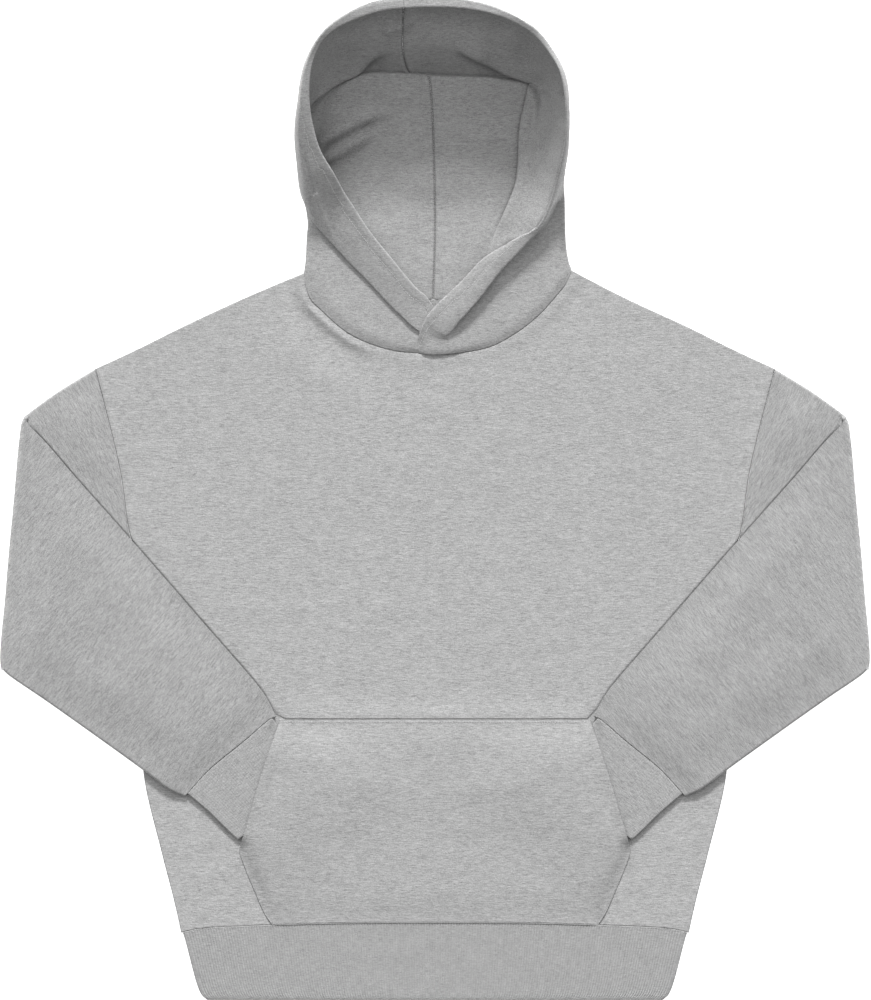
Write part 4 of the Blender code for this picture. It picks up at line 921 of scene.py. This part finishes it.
        # Painted shade at the sleeve's end by the cuff, and along the forearm's sharp upper edge.
        add_ring(with_height(row, height), -UP, half - 0.5 * at_cuff, face, mirrored + round_fold, side_radius,
                 shade_paint=0.25 * near(left, 1.2), edge_shade_paint=1.0)
    places = np.array(places)
    u, v = math.cos(COURSE_ANGLE), math.sin(COURSE_ANGLE)
    x, y = places[..., 0], places[..., 1]
    courses = np.stack([x * u + y * v, y * u - x * v, 0 * x + MARL_SLICE], axis=-1)
    return (np.array(outer), np.array(inner)), courses, np.array(painted_shade)


walls, courses, painted_shade = build_sleeve()
cut = "fleece", (0.43, 0.45), 0.140, ["floor", front_panel]
wear_pair("sleeve", "cloth", walls, courses, 700.0, sleeve_fleece_painted_darker, *cut, painted_shade=painted_shade)

# %% [markdown]
# The kangaroo pocket is sewn on at the top, at the lower sides and into the hem
# seam. It stays open along the two slanted edges, where the cuffs go in. The
# cuffs lift it, and its cloth spreads that lift into one broad, soft swell that
# dies out at the seams. The cuffs need this swell too, because they are pressed
# flat under it, so it comes before both.

# %% The pocket's outline and its swell over the cuffs
POCKET_SIDE = (
    (-156.3, -405.2), (-163.8, -394.2), (-172.8, -374.8), (-181.0, -356.6), (-185.2, -346.2), (-188.0, -336.2),
    (-186.0, -328.6), (-176.6, -295.7), (-168.0, -265.9), (-157.4, -234.2), (-149.6, -212.6),
)
POCKET_CORNER = 5  # from here up the side isn't sewn
POCKET_SEWN, POCKET_OPENING = POCKET_SIDE[: POCKET_CORNER + 1], POCKET_SIDE[POCKET_CORNER:]
POCKET_LOW = 4.7
CUFF_TOP = ((-155.5, -215.5), (-133.0, -243.0), (-112.0, -268.0))
CUFF_UNDER = ((-238.8, -284.2), (-213.1, -303.4), (-202.0, -314.5), (-189.0, -326.5))
CUFF_LIFT = 3.4  # a tucked cuff and a little air
LIFT_SPREADS = 85.0


def outside_of(x, y, corners):
    """How far a plan point lies outside a convex shape whose corners run anticlockwise."""
    far = np.full(np.shape(x), -1e9)
    for (ax, ay), (bx, by) in zip(corners, corners[1:] + corners[:1]):
        far = np.maximum(far, ((x - ax) * (by - ay) - (y - ay) * (bx - ax)) / math.hypot(bx - ax, by - ay))
    return far


def pocket_lift(x, y):
    """The swell over the tucked cuffs. The seams at the top and at the lower sides hold it down."""
    tucked = CUFF_TOP[0], CUFF_TOP[-1], CUFF_UNDER[-1], CUFF_UNDER[0]
    outside = outside_of(np.abs(x), y, [(-corner_x, corner_y) for corner_x, corner_y in tucked])
    sewn_side = away_from(-np.abs(x), y, np.array(POCKET_SEWN))
    held = grows(sewn_side, 16.0) * (0.4 + 0.6 * grows(POCKET_TOP_Y - y, 42.0))
    return CUFF_LIFT * held * fades(outside - 2.0, LIFT_SPREADS)


print("the pocket is lifted", round(float(pocket_lift(np.array(150.0), np.array(-270.0))), 1), "mm over a cuff")

# %% [markdown]
# The cuffs and the hem band are rib knit, doubled over. Plain and purl columns
# make the rib: rounded ridges with a narrow valley between them, 2.6 mm from one
# to the next. They run along the arm on a cuff and up the body on the hem. Rib
# pulls in, so it is cut shorter than the edge that it is sewn to.

# %% Ribbed cuffs
RIB_PITCH, RIB_RISE = 2.6, 0.45
STEPS_PER_RIB = 6
CUFF_MIDDLE, CUFF_HALF = 5.95, 1.45
CUFF_WIDTH, CUFF_LENGTH = 110.0, 52.0
CUFF_RIBS = round(CUFF_WIDTH / RIB_PITCH)
CUFF_RIB_SHARE = 0.18  # the cuff's ribs are pulled wide, so they are low


def rib_rise(count, ribs):
    """The height of the ribs at count + 1 places: round on top, and narrow between them."""
    place = np.linspace(0, ribs, count + 1) % 1.0 - 0.5
    return RIB_RISE * (1 - (2 * place) ** 2)


def build_cuff():
    count = CUFF_RIBS * STEPS_PER_RIB
    across = np.linspace(0, 1, count + 1)
    along = closing_in(CUFF_LENGTH, 10)
    seam = at_shares(CUFF_SEAM, 0.03 + 0.94 * across) + np.array([0.05, -0.05])
    top, under = at_shares(CUFF_TOP, along), at_shares(CUFF_UNDER, along)
    outer, inner, places = [], [], []
    for v, a, b in zip(along, top, under):
        straight = a + (b - a) * across[:, None]
        line = straight + (seam - (top[0] + (under[0] - top[0]) * across[:, None])) * max(0.0, 1 - 2 * v)
        width, side = length_of(line)[-1], from_ends(line)
        x, y = line[:, 0], line[:, 1]
        tucked_in = grows(beside(x, y, np.array(POCKET_OPENING))[0] + 9.0, 7.0)
        pressed = tucked_in * np.maximum(CUFF_MIDDLE + CUFF_HALF + 0.25 - (POCKET_LOW + pocket_lift(x, y)), 0.0)
        pressed = np.minimum(pressed, 2 * CUFF_HALF - 0.6)
        half = CUFF_HALF - pressed / 2
        gone, left, ends = v * CUFF_LENGTH, (1 - v) * CUFF_LENGTH, round_end(side, CUFF_HALF)
        front = ends * np.maximum(half - rolled(gone, 0.5) - rolled(left), 0.3)
        front = front + CUFF_RIB_SHARE * rib_rise(count, CUFF_RIBS) * grows(side, 3.0) * grows(gone, 2.0)
        ring, within = flat_ring(with_height(line, CUFF_MIDDLE - pressed / 2), UP, front, ends * half)
        outer.append(ring)
        inner.append(within)
        place = np.stack([across * width, np.full(count + 1, gone), np.zeros(count + 1)], axis=1)
        places.append(round_tube(place, place))
    return np.array(outer), np.array(inner), np.array(places)


*walls, places = build_cuff()
cut = "rib", (0.226, 0.062), 0.0135, [front_panel]
cuffs = wear_pair("cuff", "rib", walls, places, 300.0, rib_cloth, *cut)

# %% [markdown]
# The hem band lies flat under its own weight, front on back. It is a tube too:
# its upper edge follows the seam, which dips at the sides, and its lower edge is
# a soft fold.

# %% Ribbed hem band
HEM_WIDTH, HEM_HEIGHT, HEM_BOTTOM = 484.0, 64.0, -480.0
HEM_BAND = ((-415.9, 242.4), (-474.0, 225.4), (HEM_BOTTOM, 219.0))  # height on the body, and half the width there
HEM_HALF = 2.2  # from the flat band's middle to its face
HEM_RIBS = round(HEM_WIDTH / RIB_PITCH)
HEM_STEPS_PER_RIB = 4


def build_hem():
    count = HEM_RIBS * HEM_STEPS_PER_RIB
    across = np.linspace(-1, 1, count + 1)
    sides = curve(HEM_BAND, 12)
    outer, inner, places = [], [], []
    for v in closing_in(HEM_HEIGHT, 4):
        left, down = (1 - v) * HEM_HEIGHT, v * HEM_HEIGHT
        x = across * (np.interp(-HEM_BOTTOM - left, -sides[:, 0], sides[:, 1]) - 0.4)
        seam_y = y_on(hem_seam, x) - 0.3
        line = np.stack([x, seam_y + (HEM_BOTTOM - seam_y) * v], axis=1)
        side = from_ends(line)
        ends = round_end(side)
        front = ends * np.maximum(HEM_HALF - rolled(left) - rolled(down, 0.15, 0.4), 0.3)
        front = front + rib_rise(count, HEM_RIBS) * grows(side, 3) * grows(left, 3)
        ring, within = flat_ring(with_height(line, HEM_HALF), UP, front, ends * HEM_HALF)
        outer.append(ring)
        inner.append(within)
        place = with_height(line, 0.0)
        places.append(round_tube(place, place))
    return np.array(outer), np.array(inner), np.array(places)


*walls, places = build_hem()
seam_away = closing_in(HEM_HEIGHT, 4) * HEM_HEIGHT
# Painted shade along the hem seam.
painted_shade = 0.6 * near(seam_away, 1.4)[:, None]
hem_rib = cloth_wall("hem_rib_knit", *walls, places, rib_cloth, ring=True, painted_shade=painted_shade)
wear(hem_rib, "hem_rib", "rib", (0.975, 0.066), 0.062, ["floor"], held="folded")

# %% [markdown]
# The pocket itself is one panel. Where it is sewn, its turned edge is pressed thin and slopes down to the body. Where
# it is open, its edge is cut off short and stands a little clear of the cuff, so a thin dark gap runs along it, and
# shade is painted along all its edges.

# %% Kangaroo pocket
POCKET_SIDE_LENGTH, POCKET_TOP_LENGTH = 205.0, 330.0
SIDE_THINS, HEM_THINS, TOP_THINS = (1.6, 16.0), (1.1, 34.0), (1.2, 26.0)  # by how much at a seam, and how far in
OPENING_STANDS = 0.7  # the open edge's clearance over the cuff


def pressed_thin(distance, depth, width):
    """How much thinner the cloth is pressed, at a distance in from a seam."""
    return depth * fades(distance, width)


up = closing_in(POCKET_SIDE_LENGTH, 34)
across = closing_in(POCKET_TOP_LENGTH, 60)
edge = at_shares(POCKET_SIDE, up)
top = np.stack([(2 * across - 1) * -edge[-1][0], np.full_like(across, POCKET_TOP_Y)], axis=1)
top[0], top[-1] = edge[-1], mirror(edge[-1])
low_x = (2 * across - 1) * -edge[0][0]
bottom = np.stack([low_x, y_on(hem_seam, low_x)], axis=1)
bottom[0], bottom[-1] = edge[0], mirror(edge[0])
plan = fill(bottom, top, edge, mirror(edge), up)
x, y = plan[..., 0], plan[..., 1]
in_from_edge = away_from(x, y, border(plan))
in_from_opening = away_from(-np.abs(x), y, np.array(POCKET_OPENING))
in_from_side = away_from(-np.abs(x), y, np.array(POCKET_SEWN))
above_hem = y - y_on(hem_seam, x)
in_from_sewn = np.minimum(in_from_side, above_hem)
in_from_top = POCKET_TOP_Y - y
open_edge = grows(in_from_sewn, 12.0) * grows(in_from_top, 10.0)
lift = pocket_lift(x, y) + OPENING_STANDS * open_edge * fades(in_from_opening, 12.0)
thin = np.maximum(pressed_thin(in_from_side, *SIDE_THINS), pressed_thin(above_hem, *HEM_THINS))
thin = np.maximum(thin, pressed_thin(in_from_top, *TOP_THINS) * grows(in_from_sewn, 7.0))
height = POCKET_LOW + CLOTH + lift - thin + 0.15 * unevenness(x, y, 110.0, 5) * grows(in_from_edge, 20)
at_opening, at_side = in_from_opening < in_from_edge + 0.01, in_from_side < in_from_edge + 0.01
roll = np.where(at_opening, 0.35, ROLL)
depth = np.where(at_opening, 0.4, np.where(at_side, 0.2, 0.45))
# Painted shade along the pocket's edges, fainter at its sewn sides.
shade_paint = np.where(in_from_side < np.minimum(above_hem, 4.0), 0.12, 0.6)
face = with_height(plan, height - rolled(in_from_edge, depth, roll))
pocket = cloth_wall("pocket_fleece_painted_darker", face, with_height(plan, POCKET_LOW + lift),
                    with_height(plan + 400.0, MARL_SLICE),
                    pocket_fleece_painted_darker, painted_shade=shade_paint * near(in_from_edge, 1.2))
wear(pocket, "pocket", "fleece", (0.375, 0.198), 0.067, [front_panel, *cuffs])

# %% [markdown]
# Now the hood is dressed on its loft. Creases are listed, each as a line with a rise and the widths of its two flanks.
# They die out at their ends. One fold inside the hood is crisp: there the cloth rolls over towards the viewer's left
# and throws its own thin shade.

# %% Creases of the hood
HOOD_CREASES = (
    # part, line in plan, rise, left flank, right flank, how much shade is painted at its foot
    ("floor", ((-122.0, 333.0), (-110.4, 339.8), (-95.0, 350.4), (-65.8, 364.8), (-36.5, 375.4)), 5.4, 16.0, 4.5, 0.6),
    ("floor", ((-114.0, 319.0), (-100.8, 327.4), (-80.6, 338.9), (-64.3, 349.4), (-50.0, 355.0)), 4.2, 9.0, 4.5, 0.5),
    ("floor", ((60.0, 215.0), (52.0, 262.0), (58.0, 310.0)), 1.2, 12.0, 12.0, 0.0),
    ("crown", ((-121.0, 370.0), (-113.0, 382.0), (-96.0, 398.0), (-74.9, 412.8), (-61.4, 424.3), (-47.0, 431.0),
               (-36.0, 436.0)), 6.0, 20.0, 4.0, 0.6),
    ("crown", ((14.0, 436.0), (30.0, 430.0), (46.1, 423.4), (63.4, 414.7), (92.2, 402.2), (112.8, 390.7),
               (120.0, 386.0)), 6.0, 20.0, 4.0, 0.6),
    ("crown", ((-53.8, 449.3), (-30.7, 455.6), (-20.2, 463.7)), 3.0, 5.0, 7.0, 0.3),
    ("band", ((-126.0, 340.0), (-122.5, 320.0), (-113.0, 291.0), (-102.0, 262.0), (-94.0, 245.0)), 1.6, 3.5, 6.0, 0.0),
)
INNER_FOLD = (
    (45.1, 231.4), (51.8, 246.7), (62.4, 266.9), (73.0, 288.0), (79.3, 305.3),
    (81.2, 319.7), (83.1, 359.0), (88.3, 383.0), (92.2, 401.3), (96.0, 408.0),
)
INNER_FOLD_PROFILE = (
    # mm right of the fold, how far the cloth shifts left there, and its rise
    (-10.0, 0.0, 0.0),
    (-2.0, -1.0, -0.3),
    (0.0, -2.0, 0.0),
    (1.5, 0.5, 1.6),
    (3.0, 4.2, 3.6),
    (5.0, 6.0, 6.0),
    (9.0, 4.0, 7.6),
    (18.0, 1.0, 6.5),
    (40.0, 0.0, 0.0),
)
tuck_column, outer_column, crest_column = column_of("tuck"), column_of("outer"), column_of("crest")
FLOOR_UNEVEN, CROWN_UNEVEN = (1.3, 62.0, 12), (1.5, 38.0, 4)  # rise, size in millimetres and seed
SHEET_FOOT, SHEET_CLIMBS = 1.6, 7.0  # the hollow sheet's height at the fold, and what it gains towards the crown
# how far it stays below the rim, and how much more at its upper and lower ends
RIM_STANDS, RIM_STANDS_HIGH, RIM_STANDS_LOW = 1.8, 3.2, 7.5


def ridge(x, y, line, rise, left, right):
    """A soft ridge along a line, with its own flank on each side, and the foot of its right flank."""
    signed, share = beside(x, y, curve(line, 6))
    width = np.where(signed > 0, right, left)
    ends = grows(share, 0.2) * grows(1 - share, 0.35)
    return rise * near(signed, width) * ends, near(signed - right, right + 2.5) * ends


def dressed_hood(middle):
    """The loft with its creases, and a fourth number for each point that says how much shade is painted on it."""
    grid = middle.copy()
    row, column = np.indices(grid.shape[:2])
    inside = (row > fold_rows[0] + 4) & (row < fold_rows[1] - 4)
    x, y = grid[..., 0], grid[..., 1]
    parts = {
        "floor": inside * grows(tuck_column + 2 - column, 10.0) * grows(column, 8.0),
        "crown": inside * grows(column - tuck_column + 5, 5.0) * grows(crest_column - column, 6.0),
        "band": (column > tuck_column + 8) * 1.0,
    }
    relief, painted_shade = np.zeros_like(x), np.zeros_like(x)
    # Each crease gets painted shade at the foot of its right flank.
    for part, line, rise, left, right, shade_paint in HOOD_CREASES:
        raised, foot = ridge(x, y, line, rise, left, right)
        relief, painted_shade = relief + parts[part] * raised, np.maximum(painted_shade, parts[part] * foot * shade_paint)
    # Painted shade along the tuck, where the back layer turns up into the crown.
    at_tuck = near(column - tuck_column + 1, 5.0) * grows(row_of(CENTRE + 4) - row, 12.0)
    painted_shade = np.maximum(painted_shade, 0.55 * inside * at_tuck)
    for part, (rise, size, seed) in (("floor", FLOOR_UNEVEN), ("crown", CROWN_UNEVEN)):
        relief = relief + rise * unevenness(x, y, size, seed) * parts[part]
    towards_viewer = np.where(inside, -1.0, 1.0)
    grid = grid + outward(grid) * (relief * towards_viewer)[..., None]

    profile = np.array(INNER_FOLD_PROFILE)
    signed, share = beside(x, y, curve(INNER_FOLD, 8))
    strength = inside * (x > 20) * grows(share, 0.35) * grows(1 - share, 0.06)
    strength = strength * grows(tuck_column + 8 - column, 12.0) * (row < row_of(CENTRE + 6))
    grid[..., 0] -= strength * np.interp(signed, profile[:, 0], profile[:, 1])
    grid[..., 2] += strength * np.interp(signed, profile[:, 0], profile[:, 2])
    # Painted shade along the inner fold, beside the thin shade that its overhang throws.
    painted_shade = np.maximum(painted_shade, 0.7 * strength * near(signed + 1.0, 4.5))

    # from that fold the side of the hood climbs in one hollow sheet to just under the rim
    rim = middle[row_of(CENTRE + 3) : row_of(CENTRE + 13) : 3, -1]
    to_rim, rim_share = beside(x, y, rim[:, :2])
    along_rim = length_of(rim[:, :2])
    rim_height = np.interp(rim_share, along_rim / along_rim[-1], rim[:, 2])
    past_fold = np.maximum(signed - 5.0, 0.0)
    hollow = 1.9 - 0.5 * grows(y - 250.0, 60.0)
    climb = (past_fold / np.maximum(past_fold + np.maximum(to_rim, 0.0), 0.1)) ** hollow
    rim_stands = RIM_STANDS + RIM_STANDS_HIGH * grows(y - 262.0, 40.0)
    rim_stands = rim_stands + RIM_STANDS_LOW * fades(y - 238.0, 36.0)
    foot = SHEET_FOOT + SHEET_CLIMBS * grows(share, 0.35)
    sheet = foot + (rim_height - rim_stands - foot) * climb
    hold = inside * (x > 20) * grows(share, 0.08) * grows(1 - share, 0.25)
    hold = hold * grows(signed - 3.0, 3.0) * grows(outer_column - column, 6.0)
    hold = hold * grows(fold_rows[1] - row, 12.0) * fades(-to_rim, 10.0)
    grid[..., 2] += hold * np.maximum(sheet - grid[..., 2], 0.0)
    grid[..., 2] = np.maximum(grid[..., 2], CLOTH / 2)
    return np.concatenate([grid, painted_shade[..., None]], axis=-1)


def unit(vectors):
    return vectors / np.maximum(np.linalg.norm(vectors, axis=-1, keepdims=True), 1e-9)


def heading(grid, axis):
    """The direction of a grid's lines at each point, halfway between the steps before and after it."""
    step = unit(np.diff(grid, axis=axis))
    first, last = np.take(step, [0], axis=axis), np.take(step, [-1], axis=axis)
    return unit(np.concatenate([first, step], axis=axis) + np.concatenate([step, last], axis=axis))


def outward(grid):
    """The unit normal at each point of a grid, on the side that is the outside of the hood."""
    return unit(np.cross(heading(grid, 1), heading(grid, 0)))


hood_grid = dressed_hood(hood_middle)
print("creases set on", hood_grid.shape[0] * hood_grid.shape[1], "points")

# %% [markdown]
# The wall goes half its thickness to each side of that surface. The cloth rolls
# in over its last millimetre or two at the neck edge and the centre seam. The
# face edge is a hem: the cloth is turned in over 9.5 mm and stitched, so it is
# fuller there and has a round lip.

# %% Hood halves
RIM_HEM = 9.5  # the face edge's turned hem
HEM_FULL, HEM_GROOVE = 0.45, 0.15  # how much fuller the cloth is there, and how deep the stitches press it
SEAM_ROLL, SEAM_GAP = 1.6, 0.02  # the centre seam's roll, and how far from it each half ends
NECK_LINES = (0.12, 0.3, 0.6)  # extra grid lines near the neck edge, as shares of one step
FACE_LINES = (0.5, 0.8, 0.93)
SEAM_LINES = (0.15, 0.4, 0.7), (0.3, 0.6, 0.85)  # after and before the centre seam


def insert_near(grid, axis, index, shares):
    """Extra grid lines between a line and the one after it, at these shares of the step."""
    first, second = np.take(grid, [index], axis=axis), np.take(grid, [index + 1], axis=axis)
    extra = [first + (second - first) * share for share in shares]
    before, after = np.split(grid, [index + 1], axis=axis)
    return np.concatenate([before, *extra, after], axis=axis)


def along_columns(grid):
    """The distance of each point from the neck edge along its row."""
    step = np.linalg.norm(np.diff(grid, axis=1), axis=2)
    return np.concatenate([np.zeros((len(grid), 1)), np.cumsum(step, axis=1)], axis=1)


def build_hood():
    grid = insert_near(hood_grid, 1, 0, NECK_LINES)
    grid = insert_near(grid, 1, grid.shape[1] - 2, FACE_LINES)
    centre = row_of(CENTRE)
    grid = insert_near(grid, 0, centre, SEAM_LINES[0])
    grid = insert_near(grid, 0, centre - 1, SEAM_LINES[1])
    centre += len(SEAM_LINES[1])
    grid, painted_shade = grid[..., :3], grid[..., 3]
    neck = along_columns(grid)
    face = neck[:, -1:] - neck
    across = np.abs(np.arange(len(grid)) - centre)
    seam = np.linalg.norm(grid - grid[centre][None], axis=2)
    seam = np.where(across[:, None] < 12, seam, 99.0)
    normal = outward(grid)
    lip = round_end(face, 1.6)
    band_width = (neck[:, -1] - neck[:, outer_column + len(NECK_LINES)])[:, None]
    hem = HEM_FULL * grows(RIM_HEM - face, 1.5) - HEM_GROOVE * near(face - RIM_HEM, 1.6)
    full = 1.0 + hem * grows(band_width - 13.0, 14.0)
    outer_half = full * lip - rolled(neck, 0.8) - rolled(seam, 0.8, SEAM_ROLL)
    inner_half = full * lip - 0.95 * near(seam, 1.5) + 0.6 * near(seam - 3.6, 2.6)
    tip = np.linalg.norm(grid - grid[-1][None], axis=2)
    outer_half = outer_half * (0.25 + 0.75 * grows(tip, 8.0))  # the front corner thins out over the other half
    # Painted shade along the centre seam and the neck edge.
    seam_painted_shade = 0.85 * near(seam, 1.6) * grows(face - 8.0, 8.0)
    painted_shade = np.maximum(painted_shade, np.maximum(seam_painted_shade, 0.6 * near(neck, 1.4)))
    walls = grid + normal * outer_half[..., None], grid - normal * inner_half[..., None]
    for wall in walls:
        wall[..., 2] = np.maximum(wall[..., 2], 0.0)
    return grid, painted_shade, centre, walls


hood_grid, hood_painted_shade, centre_row, hood_walls = build_hood()
for name, rows in (("hood_right", slice(None, centre_row + 1)), ("hood_left", slice(centre_row, None))):
    outside, inside = (wall[rows].copy() for wall in hood_walls)
    edge, nearby = (-1, -2) if name == "hood_right" else (0, 1)
    apart = unit(hood_grid[rows][nearby] - hood_grid[rows][edge]) * SEAM_GAP
    outside[edge] += apart
    inside[edge] += apart
    painted_shade = hood_painted_shade[rows]
    hood_half = cloth_wall(name + "_cloth", outside, inside, hood_grid[rows], hood_fleece_painted_darker,
                           sharp=60, painted_shade=painted_shade)
    wear(hood_half, name, "fleece", (0.26, 0.36), 0.058, ["floor", back_panel], held="folded")
print("hood halves meet at row", centre_row)

# %% [markdown]
# Stitches are real thread: short rounded bars that sit on the cloth, each 2.6 mm
# from the next. The pocket's top is held by one row, and the hood's face hem by
# another all round.

# %% Stitches
STITCH_PITCH, STITCH_LENGTH, STITCH_RADIUS = 2.6, 1.9, 0.24
STITCH_RINGS = (-0.5, 0.25), (-0.3, 1.0), (0.3, 1.0), (0.5, 0.25)  # place along a stitch and thickness, as shares
ROUND = 6


def stitch_row(name, line, facing):
    """A row of small rounded bars along a line. facing is the direction out of the cloth."""
    along = length_of(line)
    count = int(along[-1] / STITCH_PITCH)
    at = (np.arange(count) + 0.5) * STITCH_PITCH
    middle, out = points_at(line, along, at), points_at(facing, along, at)
    run, out = unit(points_at(line, along, at + 0.5) - middle), unit(out)
    side = unit(np.cross(run, out))
    turns = np.arange(ROUND) * 2 * math.pi / ROUND
    points = []
    for place, size in STITCH_RINGS:
        for turn in turns:
            spoke = side * math.cos(turn) + out * math.sin(turn)
            points.append(middle + run * STITCH_LENGTH * place + spoke * STITCH_RADIUS * size)
    points = np.stack(points, axis=1)
    bar = len(STITCH_RINGS) * ROUND  # points in one stitch
    faces = []
    for ring in range(0, bar - ROUND, ROUND):
        for k in range(ROUND):
            a, b = ring + k, ring + (k + 1) % ROUND
            faces.append((a, b, b + ROUND, a + ROUND))
    faces += [tuple(range(ROUND))[::-1], tuple(range(bar - ROUND, bar))]
    mesh = bpy.data.meshes.new(name)
    every = [tuple(i + start for i in face) for start in range(0, count * bar, bar) for face in faces]
    mesh.from_pydata((points.reshape(-1, 3) * MM).tolist(), [], every)
    mesh.update()
    mesh.shade_smooth()
    mesh.materials.append(thread)
    row = new_object(name, mesh)
    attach(row, "root")
    print(f"{name}: {count} stitches")
    return row


ROW_HALF, ROW_POINTS = 146.0, 140  # half the pocket's row of stitches
ROW_DOWN = 2.6  # from the pocket's top edge
ROW_SINKS = 0.98  # because the cloth is pressed thin there
x = np.linspace(-ROW_HALF, ROW_HALF, ROW_POINTS)
y = np.full_like(x, POCKET_TOP_Y - ROW_DOWN)
row_line = np.stack([x, y, POCKET_LOW + CLOTH + pocket_lift(x, y) - ROW_SINKS], axis=1)
stitch_row("pocket_top_stitches", row_line, np.tile(UP, (ROW_POINTS, 1)))

from_face = along_columns(hood_grid)
from_face = from_face[:, -1:] - from_face
rim_line, rim_out = [], []
for row in range(len(hood_grid)):
    column = int(np.argmin(np.abs(from_face[row] - RIM_HEM)))
    rim_line.append(hood_walls[0][row, column])
    rim_out.append(hood_walls[0][row, column] - hood_walls[1][row, column])
stitch_row("hood_hem_stitches", np.array(rim_line), np.array(rim_out))
